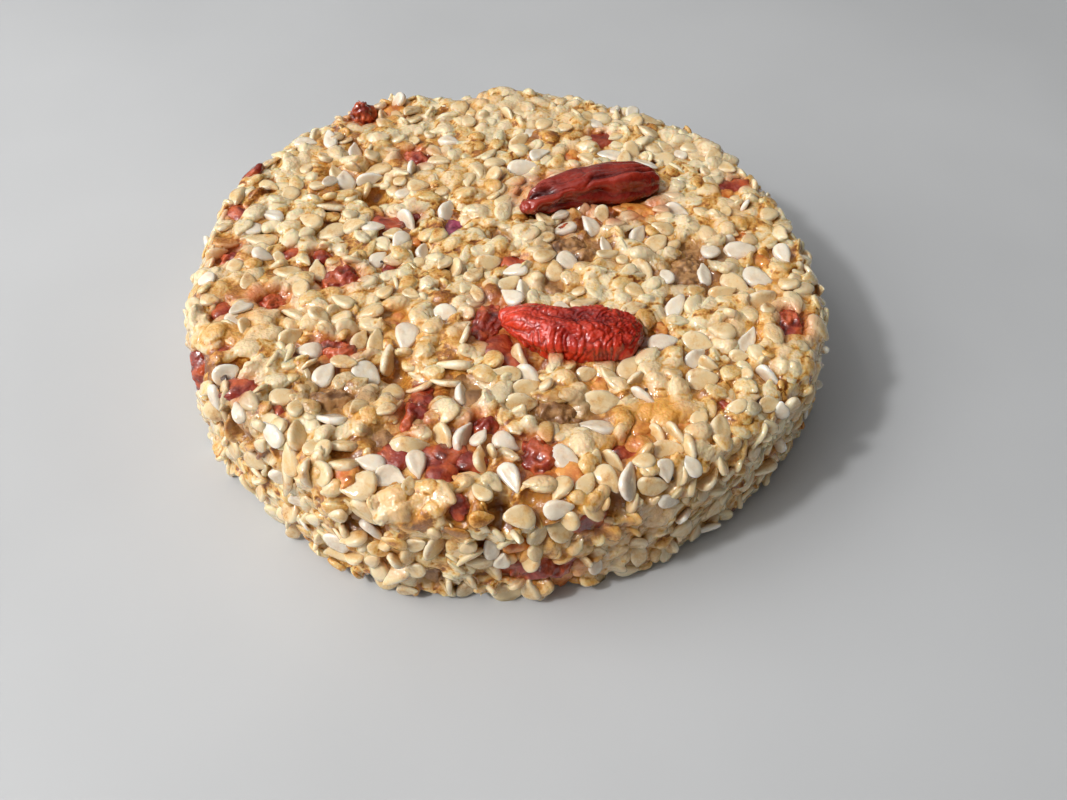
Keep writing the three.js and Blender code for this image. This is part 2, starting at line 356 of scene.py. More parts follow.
def applied(work):
    """Points and triangles of a work piece after its modifiers. The work piece itself is removed."""
    mesh = bpy.data.meshes.new_from_object(work.evaluated_get(bpy.context.evaluated_depsgraph_get()))
    result = points_of(mesh), triangles_of(mesh)
    bpy.data.objects.remove(work)
    return result


def remeshed(points, triangles, voxel):
    """One closed skin round overlapping closed shapes, in triangles about `voxel` wide."""
    work = tri_mesh("work", points, triangles)
    modifier = work.modifiers.new("voxels", "REMESH")
    modifier.mode = "VOXEL"
    modifier.voxel_size = voxel * mm
    return applied(work)


def thinned(points, triangles, most):
    """The same skin with no more than `most` triangles."""
    work = tri_mesh("work", points, triangles)
    modifier = work.modifiers.new("thin", "DECIMATE")
    modifier.ratio = min(1.0, most / len(triangles))
    return applied(work)


# %% [markdown]
# ## One sesame seed
# A hulled sesame seed is a flat drop: round at one end, drawn out to a small nib at the other,
# and a little dished in the middle of each face. One seed could be sculpted and copied, but then
# all would be alike. So it is made from rings round its length, like a sphere, with each ring
# given the width and thickness of the drop at that point. The taper, the nib and the dish are
# numbers that change from seed to seed.

# %% The seed and its sizes
seed_length = 2.72
seed_width = 1.82
seed_thickness = 0.86
usual_taper = 0.34
usual_nib = 0.22
usual_dish = 0.4
nib_place = 0.74
nib_spread = 0.15
nib_thinning = 0.24
width_kept = 0.45
end_bluntness = 0.85
side_fullness = 0.85
face_fullness = 0.7


def seed_girth(along, taper, nib):
    """Half width and half thickness at `along`, from -1 at the round end to 1 at the nib."""
    end = np.sqrt(np.clip(1 - along**2, 0, 1))
    drawn_in = (1 - taper * along) * (1 - nib * hill(along - nib_place, nib_spread))
    half_width = 0.5 * seed_width * end * (drawn_in / (1 + width_kept * taper**2))
    half_thick = 0.5 * seed_thickness * end**end_bluntness * (1 - nib_thinning * along)
    return half_width, half_thick


half_widths, _ = seed_girth(np.array([-0.6, 0.0, 0.6]), usual_taper, usual_nib)
print("half widths along a seed:", half_widths.round(2))

# %% [markdown]
# The rings lie closer together near the two ends, where the form turns fastest. Round each ring
# the sides are filled out a little, because a seed has a blunter edge than an ellipse.

# %% Rings round a seed


def filled_out(value, power):
    return math.copysign(abs(value) ** power, value)


def seed_rings(around, rings):
    """The ring points of a seed as length, side and rise shares from -1 to 1, and its triangles."""
    shares = [[-1.0, 0.0, 0.0]]
    for ring in range(1, rings):
        along = -math.cos(math.pi * ring / rings)
        for step in range(around):
            angle = 2 * math.pi * step / around
            side = filled_out(math.cos(angle), side_fullness)
            rise = filled_out(math.sin(angle), face_fullness)
            shares.append([along, side, rise])
    shares.append([1.0, 0.0, 0.0])
    triangles = []
    for step in range(around):
        after = (step + 1) % around
        triangles.append([0, 1 + after, 1 + step])
        last = 1 + (rings - 2) * around
        triangles.append([last + step, last + after, len(shares) - 1])
        for ring in range(rings - 2):
            low = 1 + ring * around
            high = low + around
            triangles.append([low + step, low + after, high + after])
            triangles.append([low + step, high + after, high + step])
    return np.array(shares), np.array(triangles)


print("triangles of a fine seed:", len(seed_rings(14, 10)[1]))

# %% [markdown]
# To tell where a seed may lie, it is felt at points all through its inside. A loose set of points
# is enough to feel with, and a dense one marks the room that the seed takes when it has come to
# rest.

# %% Points inside a seed
filled_reach = 1.8
filled_length = 0.97


def seed_filling(spacing):
    """Points spread through the inside of a usual seed that lies along +Y."""
    steps = np.arange(-filled_reach, filled_reach + 0.01, spacing)
    x, y, z = np.meshgrid(steps, steps, steps, indexing="ij")
    spread = np.stack([x.ravel(), y.ravel(), z.ravel()], axis=1)
    along = spread[:, 1] / (0.5 * seed_length)
    half_width, half_thick = seed_girth(np.clip(along, -0.999, 0.999), usual_taper, usual_nib)
    within = (spread[:, 0] / half_width) ** 2 + (spread[:, 2] / half_thick) ** 2 < 1
    return spread[within & (np.abs(along) < filled_length)]


probe = seed_filling(spacing=0.36)
filling = seed_filling(spacing=0.2)
print("a seed is felt at", len(probe), "points and fills", len(filling))

# %% [markdown]
# ## Filling a box of voxels
# Real seeds rest on each other. Blender's rigid bodies could drop them, but thousands of thin
# seeds take long and never quite come to rest. Here the space round the cookie is cut into small
# cubes that know if they are taken. A seed comes in along the normal of the skin until too many
# of its points are in cubes that are taken, and rests there. Several places and turns are tried
# for each seed, and the one that lies deepest wins, so hollows are filled first.

# %% The voxel box
voxel = 0.25
grid_low = np.array([-33.0, -33.0, -2.0])
grid_size = np.array([264, 264, 80])
taken = np.zeros(grid_size, np.uint8)
flat_taken = taken.reshape(-1)
FREE = 0
TOUCH = 1
FORBIDDEN = 20
core_inset = 1.5
foot_inset = 1.125
core_round = 1.0
core_waviness = 0.5


def cells(points):
    index = ((points - grid_low) / voxel).astype(np.int32)
    np.clip(index, 0, grid_size - 1, out=index)
    return (index[..., 0] * grid_size[1] + index[..., 1]) * grid_size[2] + index[..., 2]


def fill_core():
    """Takes the cubes of an uneven core, and forbids those below the floor."""
    axes = [grid_low[k] + (np.arange(grid_size[k]) + 0.5) * voxel for k in range(3)]
    x, y = np.meshgrid(axes[0] - ring_middle[0], axes[1] - ring_middle[1], indexing="ij")
    degrees = np.degrees(np.arctan2(y, x))
    reach = np.hypot(x, y) - rim_swell(degrees) - (cookie_radius - core_inset)
    columns = np.stack([x.ravel(), y.ravel(), np.zeros(x.size)], axis=1)
    top_waves = core_waviness * waves(columns, 4.5, 1).reshape(x.shape)
    top_level = cookie_height - core_inset + top_swell(x, y) + top_waves
    turns = np.radians(np.arange(360))
    wall = np.stack([cookie_radius * np.cos(turns), cookie_radius * np.sin(turns), 0 * turns], axis=1)
    column_turn = (degrees.astype(int)) % 360
    for k, z in enumerate(axes[2]):
        if z < 0:
            taken[:, :, k] = FORBIDDEN
            continue
        wall_swell = core_waviness * waves(wall + [0, 0, z], 4.0, 2)[column_turn]
        above = z - top_level
        below = foot_inset - z
        out = reach - wall_swell
        deepest = np.maximum(np.maximum(above, below), out)
        corner = np.hypot(np.maximum(above + core_round, 0), np.maximum(out + core_round, 0)) - core_round
        taken[:, :, k] = (np.maximum(deepest, corner) < 0) * TOUCH


fill_core()
print("cubes taken by the core:", int((taken == TOUCH).sum()))

# %% [markdown]
# ## Places on the skin
# Small things are set where a pixel's ray first meets the skin, on the top or on the side. The
# depth under the skin tells both where that is and, by how it changes, which way is out.

# %% Depth under the skin and rays
usual_depth = 0.45
felt_step = 0.3
ray_stops = np.arange(60, 130, 0.05)


def depth_under_skin(points):
    """How far under the outer skin points lie, in millimetres."""
    local = points - ring_middle
    swell = rim_swell(np.degrees(np.arctan2(local[:, 1], local[:, 0])))
    reach = cookie_radius + swell - np.hypot(local[:, 0], local[:, 1])
    above = cookie_height + top_swell(local[:, 0], local[:, 1]) - local[:, 2]
    corner = top_round - np.hypot(np.maximum(top_round - above, 0), np.maximum(top_round - reach, 0))
    return np.minimum(np.minimum(np.minimum(reach, above), corner), local[:, 2] + 0.5)


def place_on_skin(across_px, down_px, depth=usual_depth):
    """Where a pixel's ray comes to this depth under the skin, and the way out of the skin there."""
    ray = pixel_ray(across_px, down_px)
    start = np.array(camera.matrix_world.translation) / mm
    path = start + ray * ray_stops[:, None]
    under = depth_under_skin(path)
    place = path[np.argmax(under > min(depth, under.max() - 0.01))]
    around = place + felt_step * np.concatenate([np.eye(3), -np.eye(3)])
    felt = depth_under_skin(around)
    out = felt[3:] - felt[:3]
    return place, out / np.linalg.norm(out)


front_px = (560, 508)
print("the pixel", front_px, "meets the skin at", place_on_skin(*front_px)[0].round(1))

# %% [markdown]
# ## The fruit takes its room first
# The berries and scraps of fruit are already in the solid model, so the seeds have to lie round
# them. Each one is read from its node, takes its own cubes, and forbids the cubes outside it, so
# that no seed comes to lie on its face. Seeds may still lap over its edge, as they do on a real
# cookie: the lap share says how deep inside a scrap its open part begins. The scrap at the left
# edge is seen from the side, so it needs room on the camera's side too.

# %% Fruit in the voxel box
fruit_names = sorted(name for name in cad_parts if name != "seed_mass")
side_fruit = ("goji_end_left", "goji_piece_low", "mulberry_piece_rim")
fruit_seen_sideways = ("goji_end_left",)
lap_share = {
    "goji_front": 0.15,
    "goji_back": 0.15,
    "goji_skin_centre": 0.2,
    "goji_piece_front": 0.25,
    "goji_skin_front": 0.25,
    "goji_piece_low": 0.15,
    "goji_end_left": 0.05,
    "goji_piece_right_rim": 0.15,
}
usual_lap_share = 0.45
camera_way = np.array(camera.matrix_world.translation.normalized())


def fruit_outward(name):
    """The direction in which a piece of fruit faces out of the cookie."""
    if name not in side_fruit:
        return np.array([0.0, 0.0, 1.0])
    low, high = (np.array(corner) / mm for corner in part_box(name))
    out = (low + high) / 2 - ring_middle
    out[2] = 0
    return out / np.linalg.norm(out)


def fruit_voxels(name):
    """Centres of the cubes inside a piece of fruit, and how deep each lies."""
    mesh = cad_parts[name].data
    tree = BVHTree.FromPolygons([Vector(p) for p in points_of(mesh)], triangles_of(mesh).tolist())
    low, high = (np.array(corner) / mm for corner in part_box(name))
    first = np.floor((low - grid_low) / voxel).astype(int)
    last = np.ceil((high - grid_low) / voxel).astype(int)
    ranges = [np.arange(first[k], last[k]) for k in range(3)]
    steps = np.stack(np.meshgrid(*ranges, indexing="ij"), axis=-1)
    inside, depth = [], []
    for centre in grid_low + (steps.reshape(-1, 3) + 0.5) * voxel:
        nearest, normal, _, distance = tree.find_nearest(Vector(centre))
        if (Vector(centre) - nearest).dot(normal) < 0:
            inside.append(centre)
            depth.append(distance)
    return np.array(inside), np.array(depth)


def forbid_outside(points, outward, first_rise, last_rise):
    """Keeps seeds out of the cubes that lie this far above these points."""
    for rise in np.arange(first_rise, last_rise, voxel * 0.8):
        flat_taken[cells(points + outward * rise)] |= FORBIDDEN


for name in fruit_names:
    inside, depth = fruit_voxels(name)
    flat_taken[cells(inside)] = TOUCH
    open_part = inside[depth > lap_share.get(name, usual_lap_share) * depth.max()]
    forbid_outside(open_part, fruit_outward(name), first_rise=0.4, last_rise=5.0)
    if name in fruit_seen_sideways:
        forbid_outside(open_part, camera_way, first_rise=0.4, last_rise=5.0)
print("fruit pieces:", len(fruit_names))

# %% [markdown]
# ## Small bits of fruit
# Many bits of fruit are too small for the solid model. Each has the pixel of its middle, its
# width in millimetres and what it is. They take their room like the large ones, as balls of
# points. How deep a bit is sunk goes by its width and kind, and a speck lies on the skin.

# %% Small bits at their places
small_bits = {
    "red_bead": (598, 145, 3.0, "berry"),
    "purple_bit": (453, 229, 2.3, "purple"),
    "dark_red_bit": (386, 225, 2.6, "berry"),
    "left_bit": (320, 257, 1.4, "berry"),
    "left_bit_two": (290, 255, 1.2, "berry"),
    "pink_bit_left": (225, 314, 2.4, "berry"),
    "orange_red_bit_left": (222, 352, 1.2, "berry"),
    "red_bit_rim": (243, 392, 2.2, "berry"),
    "small_red_rim": (278, 411, 1.0, "berry"),
    "red_above_skin": (423, 397, 1.8, "berry"),
    "red_front": (459, 508, 1.5, "berry"),
    "red_front_two": (393, 460, 2.2, "berry"),
    "orange_left": (392, 322, 2.6, "orange"),
    "orange_middle": (598, 388, 1.4, "orange"),
    "orange_front": (626, 452, 2.2, "berry"),
    "orange_front_two": (683, 428, 1.8, "orange"),
    "orange_side_left": (348, 475, 1.8, "orange"),
    "orange_side_low": (391, 553, 1.8, "orange"),
    "orange_base": (515, 548, 1.4, "orange"),
    "orange_side_right": (572, 478, 2.0, "orange"),
    "orange_front_right": (640, 431, 2.0, "orange"),
    "skin_low": (499, 352, 2.8, "berry"),
    "skin_low_two": (511, 364, 1.8, "berry"),
    "stained_left": (414, 421, 2.4, "brown"),
    "red_hollow": (428, 461, 2.2, "berry"),
    "red_hollow_two": (443, 477, 1.8, "berry"),
    "brown_jelly_right": (587, 517, 2.4, "berry"),
    "low_jelly": (519, 563, 2.4, "berry"),
    "red_jelly_front": (449, 455, 2.4, "berry"),
    "red_jelly_front_two": (470, 462, 2.0, "berry"),
    "red_low_right": (560, 573, 2.4, "orange"),
    "pink_back": (735, 190, 2.4, "berry"),
    "pink_back_two": (724, 195, 1.4, "orange"),
    "pink_middle_back": (640, 214, 2.4, "orange"),
    "back_orange": (484, 104, 1.6, "orange"),
    "back_orange_two": (393, 112, 1.8, "orange"),
    "back_left_red": (252, 175, 1.8, "berry"),
    "back_left_red_two": (238, 217, 2.0, "berry"),
    "red_dot_middle": (416, 216, 1.0, "berry"),
    "red_dot_middle_two": (415, 243, 1.0, "orange"),
    "red_dot_left_middle": (389, 270, 1.1, "berry"),
    "red_dot_right": (726, 405, 0.9, "berry"),
    "orange_back_middle": (571, 159, 1.8, "orange"),
    "orange_by_berry": (567, 229, 1.4, "berry"),
    "orange_right": (739, 237, 1.2, "orange"),
    "orange_right_two": (760, 262, 1.4, "orange"),
    "red_by_skin": (516, 264, 1.6, "berry"),
    "pink_centre": (660, 330, 1.2, "orange"),
    "brown_right": (724, 262, 2.0, "brown"),
    "brown_above_right": (690, 252, 2.2, "brown"),
    "brown_round": (555, 294, 2.6, "brown"),
    "brown_hollow": (360, 520, 1.8, "brown"),
    "brown_side": (432, 570, 2.2, "brown"),
    "brown_front_left": (380, 440, 2.2, "brown"),
    "brown_front_middle": (474, 398, 3.0, "brown"),
    "brown_middle_left": (498, 240, 2.0, "brown"),
    "black_right": (758, 400, 0.5, "speck"),
    "black_left": (223, 378, 0.5, "speck"),
    "black_low_left": (228, 437, 0.5, "speck"),
    "speck": (646, 389, 0.28, "speck"),
    "speck_two": (672, 478, 0.28, "speck"),
    "speck_three": (382, 262, 0.3, "speck"),
}
bit_sink = {"berry": 0.18, "brown": 0.35, "orange": 0.1, "purple": 0.12}
sink_by_width = 0.28
speck_depth = 0.18
bit_open_part = 0.34
ball_points = 400
ball_ways = np.random.default_rng(5).normal(size=(ball_points, 3))
ball_ways /= np.linalg.norm(ball_ways, axis=1, keepdims=True)
ball_shares = np.random.default_rng(6).random((ball_points, 1)) ** (1 / 3)
bit_places = {}
for name, (across_px, down_px, wide, kind) in small_bits.items():
    depth = speck_depth if kind == "speck" else sink_by_width * wide + bit_sink[kind]
    place, out = place_on_skin(across_px, down_px, depth)
    bit_places[name] = (place, out, wide, kind)
    ball = ball_ways * ball_shares * wide
    flat_taken[cells(place + ball / 2)] = TOUCH
    forbid_outside(place + ball * bit_open_part, out, first_rise=0.4, last_rise=4.0)
print("small bits:", len(bit_places))

# %% [markdown]
# ## Dark gaps
# In a few places seeds have fallen away and one looks into a dark gap. Black paint alone would look
# flat from the side, so the core is hollowed out there, and nothing may come to lie over it. The
# colour in each gap is darkened later as well, which is painted shade. Each gap has its pixel and
# its width in millimetres.

# %% Gaps at their places
dark_gaps = {
    "back_left": (375, 197, 1.3),
    "left_middle": (398, 377, 1.0),
    "under_front_berry": (540, 364, 0.8),
    "front_rim": (452, 470, 1.2),
    "right_side": (618, 503, 1.5),
    "front_side": (502, 520, 0.8),
    "front_hollow": (500, 501, 1.1),
    "front_hollow_right": (531, 499, 0.8),
    "low_middle": (436, 572, 0.9),
    "right_rim": (716, 292, 0.8),
    "left_rim": (241, 366, 0.6),
    "under_back_berry": (612, 214, 0.7),
    "right_of_brown": (700, 262, 0.8),
}
gap_depth = 1.0
gap_hollow = 0.9
gap_mouth = 0.5
gap_places = []
for across_px, down_px, wide in dark_gaps.values():
    place, out = place_on_skin(across_px, down_px, 0.4)
    gap_places.append((place, out, wide))
    bottom = place - out * gap_depth * 0.5
    ball = ball_ways * ball_shares * wide
    flat_taken[cells(bottom + ball * gap_hollow)] = FREE
    forbid_outside(place + ball * gap_mouth - out * gap_depth, out, first_rise=0.0, last_rise=3.0)
print("dark gaps:", len(gap_places))

# %% [markdown]
# ## Dropping seeds
# The drop is the heart of the lesson. A seed's turn is a matrix whose third column is the way its
# flat face looks: mostly out of the cookie, leaning by chance. The seed is felt at many depths at
# once, and the first depth with too much contact stops it.

# %% Drop one seed
drop_depths = np.arange(0.9, -1.75, -0.13)


def unit(vectors):
    return vectors / np.maximum(np.linalg.norm(vectors, axis=-1, keepdims=True), 1e-9)


def seed_turns(faces, lengths):
    """Rotation matrices from the ways that the flat faces look and the nibs point."""
    faces = unit(faces)
    lengths = unit(lengths - faces * (lengths * faces).sum(axis=1, keepdims=True))
    return np.stack([np.cross(lengths, faces), lengths, faces], axis=2)


def random_turns(normals, leans):
    """Turns for seeds on these normals, spun by chance and leaning by these angles."""
    count = len(normals)
    level = unit(np.cross(normals, chance.normal(size=(count, 3))))
    way = unit(np.cross(normals, chance.normal(size=(count, 3))))
    return seed_turns(normals * np.cos(leans)[:, None] + way * np.sin(leans)[:, None], level)


def resting_depths(points, normals, turns, sizes, limit):
    """How far out from its place each seed comes to rest."""
    felt = np.einsum("nij,pj->npi", turns, probe) * sizes[:, None, None]
    path = points[:, None, :] + normals[:, None, :] * drop_depths[None, :, None]
    load = flat_taken[cells(path[:, :, None, :] + felt[:, None, :, :])].sum(axis=2, dtype=np.int32)
    stopped = load > limit
    first = np.where(stopped.any(axis=1), stopped.argmax(axis=1), len(drop_depths))
    return drop_depths[np.clip(first - 1, 0, len(drop_depths) - 1)]


seeds = {"place": [], "turn": [], "size": [], "out": [], "kind": []}


def keep_seed(place, turn, size, normal, kind):
    for key, value in zip(seeds, (place, turn, size, normal, kind)):
        seeds[key].append(value)
    flat_taken[cells(place + (filling * size) @ turn.T)] |= TOUCH


print("depths felt for each seed:", len(drop_depths))

# %% [markdown]
# ## The seeds that catch the eye
# These go in first, because the eye goes to them: the clean white ones round the front berry, the
# ones on edge, and the ones that stand out at the rim. Each has the pixel of its middle, the way
# that its nib points in the picture, in degrees from the right turning up, how far it is rolled
# over about its own length, from 0 for a full face to 90 for its edge, its size and its kind.

# %% Seeds at their places
WHITE, CREAM, SUNKEN, CRUSHED = 0, 1, 2, 3
placed_seeds = {
    "left_of_front_berry": (407, 337, -95, 0, 1.12, WHITE),
    "long_nib_left": (325, 374, 55, 0, 1.16, WHITE),
    "left_of_it": (309, 352, 180, 10, 1.02, WHITE),
    "right_of_it": (367, 374, -35, 0, 1.15, WHITE),
    "curved_left": (332, 419, 175, 55, 1.05, WHITE),
    "upright_blue_white": (462, 394, 100, 50, 0.9, WHITE),
    "left_of_red_skin": (448, 314, -15, 20, 0.95, WHITE),
    "round_left": (317, 271, 100, 0, 0.95, CREAM),
    "left_high": (379, 259, 40, 10, 0.85, WHITE),
    "pair_left": (376, 342, 80, 20, 0.95, CREAM),
    "pair_left_grey": (360, 340, 60, 10, 0.95, CREAM),
    "edge_left": (388, 360, 80, 60, 0.95, CREAM),
    "big_flat_left": (391, 396, 200, 0, 1.15, CREAM),
    "long_left_one": (455, 365, 178, 60, 1.15, CREAM),
    "long_left_two": (446, 382, 175, 60, 1.1, CREAM),
    "long_left_three": (420, 387, 200, 50, 1.1, CREAM),
    "left_wide": (288, 273, 175, 30, 1.1, CREAM),
    "left_rim_white": (295, 315, 160, 40, 1.0, CREAM),
    "left_rim_edge": (291, 338, 40, 30, 1.0, CREAM),
    "left_rim_round": (226, 374, 30, 20, 1.0, WHITE),
    "left_rim_flat": (285, 397, 10, 0, 1.1, CREAM),
    "back_left_white": (345, 181, 100, 10, 1.1, WHITE),
    "back_left_two": (335, 174, 120, 30, 1.0, CREAM),
    "back_left_rim": (316, 137, 80, 60, 1.0, CREAM),
    "back_left_grey": (377, 170, 200, 30, 1.2, CREAM),
    "above_left_hole": (355, 152, 90, 30, 0.95, WHITE),
    "long_above_hole": (330, 207, 175, 50, 1.2, CREAM),
    "cream_left_middle": (332, 233, 200, 20, 1.1, CREAM),
    "cream_left_rim": (262, 241, 178, 30, 1.15, CREAM),
    "middle_pair": (447, 210, 70, 40, 1.1, WHITE),
    "middle_edge": (407, 222, -55, 60, 1.05, WHITE),
    "middle_small": (423, 252, 80, 40, 0.85, WHITE),
    "middle_small_two": (393, 234, 180, 20, 0.9, CREAM),
    "white_by_bead": (610, 156, 170, 20, 1.05, WHITE),
    "white_back": (523, 168, 10, 20, 1.15, WHITE),
    "back_middle": (519, 142, 40, 30, 1.0, CREAM),
    "white_under_back_berry": (590, 226, 120, 20, 1.1, WHITE),
    "white_under_two": (565, 229, 200, 20, 0.9, WHITE),
    "right_of_back_berry": (677, 213, -20, 40, 1.1, WHITE),
    "over_brown_middle": (568, 262, -35, 0, 0.95, WHITE),
    "over_brown_middle_two": (555, 271, 90, 0, 0.95, CREAM),
    "behind_front_berry": (524, 292, 100, 50, 1.05, WHITE),
    "behind_front_berry_two": (510, 283, 30, 10, 0.9, CREAM),
    "cream_middle": (488, 264, 20, 20, 0.95, CREAM),
    "right_middle_one": (638, 235, 60, 30, 0.95, WHITE),
    "right_middle_two": (657, 243, 40, 0, 1.05, CREAM),
    "right_middle_three": (644, 271, -60, 20, 0.95, CREAM),
    "right_middle_four": (605, 246, 110, 30, 0.8, WHITE),
    "by_brown_right": (704, 275, 100, 20, 1.05, WHITE),
    "below_brown_right": (675, 307, 60, 0, 1.1, WHITE),
    "right_edge_one": (740, 251, 5, 10, 1.15, WHITE),
    "right_edge_two": (783, 255, -60, 10, 1.15, WHITE),
    "right_edge_three": (757, 279, -25, 0, 1.15, WHITE),
    "right_edge_four": (735, 284, -30, 10, 1.0, CREAM),
    "right_edge_five": (723, 293, 10, 30, 1.0, CREAM),
    "right_edge_six": (762, 302, 20, 40, 1.1, CREAM),
    "right_of_front_berry": (663, 343, 10, 0, 1.0, WHITE),
    "under_front_berry": (628, 368, 60, 0, 1.1, CREAM),
    "under_front_berry_two": (587, 374, 10, 20, 0.9, CREAM),
    "under_front_berry_edge": (529, 376, -35, 55, 1.05, WHITE),
    "under_front_berry_grey": (526, 388, 20, 20, 1.0, CREAM),
    "under_front_edge_two": (520, 360, -60, 55, 1.0, CREAM),
    "right_near": (698, 342, -15, 10, 1.05, CREAM),
    "right_near_two": (739, 357, 0, 20, 0.8, CREAM),
    "right_near_three": (748, 341, 60, 10, 1.05, WHITE),
    "right_near_four": (696, 358, 40, 30, 0.95, WHITE),
    "right_stick": (768, 376, -35, 75, 1.1, WHITE),
    "right_front_one": (642, 398, -30, 60, 0.9, WHITE),
    "right_front_two": (702, 381, 0, 20, 1.2, CREAM),
    "front_cream": (602, 403, 0, 10, 1.1, CREAM),
    "front_white": (596, 428, 175, 35, 1.15, WHITE),
    "front_cream_left": (520, 404, 5, 30, 1.1, CREAM),
    "front_right_edge": (720, 427, 90, 20, 1.05, CREAM),
    "front_small_edge": (657, 436, -55, 60, 0.95, CREAM),
    "front_right_flat": (668, 451, 5, 10, 1.1, CREAM),
    "front_right_low": (653, 486, -5, 10, 1.15, CREAM),
    "front_right_upright": (628, 481, 85, 50, 1.1, WHITE),
    "front_right_small": (608, 479, -50, 20, 0.95, CREAM),
    "front_right_diagonal": (613, 462, -40, 65, 1.05, CREAM),
    "front_big_pink": (566, 461, -45, 0, 1.15, WHITE),
    "front_white_flat": (559, 509, 10, 0, 1.1, WHITE),
    "front_golden_edge": (561, 489, -120, 20, 1.0, CREAM),
    "front_round": (586, 484, 60, 0, 0.9, CREAM),
    "front_grey": (520, 516, 170, 20, 0.95, CREAM),
    "front_pointed": (512, 478, -60, 20, 1.15, WHITE),
    "front_over_orange": (506, 443, -30, 10, 1.0, WHITE),
    "front_upright_one": (469, 457, 85, 50, 1.1, CREAM),
    "front_upright_two": (481, 459, 95, 60, 1.05, CREAM),
    "front_upright_white": (463, 438, 70, 60, 1.05, WHITE),
    "front_disc": (417, 465, -80, 0, 1.05, WHITE),
    "front_over_disc": (409, 447, 5, 20, 1.15, CREAM),
    "front_left_round": (370, 463, 170, 0, 1.0, WHITE),
    "front_left_lumpy": (391, 476, -10, 10, 1.05, WHITE),
    "front_left_big": (359, 487, 195, 10, 1.25, CREAM),
    "front_left_grey": (366, 512, -40, 30, 1.15, CREAM),
    "front_left_blue": (371, 529, -40, 60, 1.05, WHITE),
    "front_stick_down": (443, 437, -60, 50, 1.0, CREAM),
    "left_side_one": (341, 446, 178, 50, 1.1, CREAM),
    "left_side_two": (343, 465, 178, 50, 1.05, CREAM),
    "left_side_flat": (291, 459, 100, 0, 1.15, CREAM),
    "left_side_point": (297, 435, 95, 40, 1.0, CREAM),
    "left_side_low": (282, 474, 30, 20, 0.95, WHITE),
    "low_upright": (491, 547, 100, 20, 0.95, WHITE),
    "low_diagonal": (491, 569, -50, 40, 1.0, CREAM),
    "low_middle_white": (538, 533, 60, 20, 1.05, CREAM),
    "low_middle_grey": (559, 530, 160, 20, 1.0, CREAM),
    "low_bent": (436, 544, 70, 50, 1.1, CREAM),
    "foot_front": (510, 590, 15, 10, 1.2, CREAM),
    "foot_front_left": (468, 586, 60, 20, 1.0, CREAM),
    "foot_right": (598, 576, 80, 30, 1.05, CREAM),
    "foot_left_clump": (385, 577, 150, 10, 1.1, CREAM),
    "foot_left_long": (341, 550, 178, 20, 1.25, CREAM),
}
print("seeds with a place of their own:", len(placed_seeds))

# %% [markdown]
# A direction in the picture becomes one on the cookie by sliding it along the line of sight until
# it lies in the seed's face. The face looks out of the skin and a little toward the viewer, with
# some chance in it, as no seed lies quite flat. A seed that would lie mostly over fruit is left
# out, and a seed that is set keeps the others from covering it.

# %% Set the seeds at their places
placed_depth = 0.4
face_spread = 0.12
most_over_fruit = 0.5


def seed_at_pixel(across_px, down_px, heading, roll, size, kind):
    place, out = place_on_skin(across_px, down_px, placed_depth)
    turn = camera.matrix_world.to_3x3()
    heading, roll = math.radians(heading), math.radians(roll)
    in_picture = np.array(turn @ Vector((math.cos(heading), math.sin(heading), 0)))
    sight = unit(np.array(camera.matrix_world.translation) / mm - place)
    face = unit(out * 2 + sight + chance.normal(0, face_spread, 3))
    length = unit(in_picture - sight * in_picture.dot(face) / sight.dot(face))
    face = face * math.cos(roll) + np.cross(length, face) * math.sin(roll)
    matrix = seed_turns(face[None], length[None])[0]
    spot = (filling * size) @ matrix.T
    over_fruit = flat_taken[cells(place + spot)] >= FORBIDDEN
    if over_fruit.mean() > most_over_fruit:
        return
    keep_seed(place, matrix, size, out, kind)
    forbid_outside(place + spot * 0.8, out, first_rise=0.5, last_rise=3.0)


for row in placed_seeds.values():
    seed_at_pixel(*row)
placed_count = len(seeds["place"])
print("placed seeds:", placed_count, "of", len(placed_seeds))

# %% [markdown]
# ## The rest of the seeds
# Now the skin is filled. On the top, which was pressed flat, most seeds lie on their faces. On
# the side they lie every way. A seed that would stand out too far is thrown back, and when
# nearly all are thrown back the cookie is full. The first seeds are pressed into each other, and
# small and broken ones fill the hollows. Then come the clean ones, which lie on top.
#
# A round of seeds has the most that may be dropped, their middle size, how far out they may rest,
# how much further a few of them may, the share of a seed that may be in taken cubes, and its kind.

# %% Fill the skin with seeds
seed_rounds = {
    "sunken": (5400, 0.83, -0.38, 0.14, 0.34, SUNKEN),
    "crushed": (1500, 0.58, -0.38, 0.12, 0.3, CRUSHED),
    "cream": (260, 0.86, -0.15, 0.12, 0.44, CREAM),
    "white": (80, 0.88, -0.15, 0.12, 0.44, WHITE),
}
tries_each = 6
at_once = 8
patience = 200
size_spread = 0.09
luck = 0.25
furthest_out = 0.7
edge_share_on_top = 0.1
more_edge_share_on_side = 0.12
lean_on_top = 0.26
more_lean_on_side = 0.22
edge_leans = (0.8, 1.5)


def leaning(normals):
    """How far seeds lean from lying flat: a few stand on edge, and more of them on the side."""
    sideways = 1 - np.abs(normals[:, 2])
    on_edge = chance.random(len(normals)) < edge_share_on_top + more_edge_share_on_side * sideways
    flat = np.abs(chance.normal(0, lean_on_top + more_lean_on_side * sideways))
    return np.where(on_edge, chance.uniform(*edge_leans, len(normals)), flat)


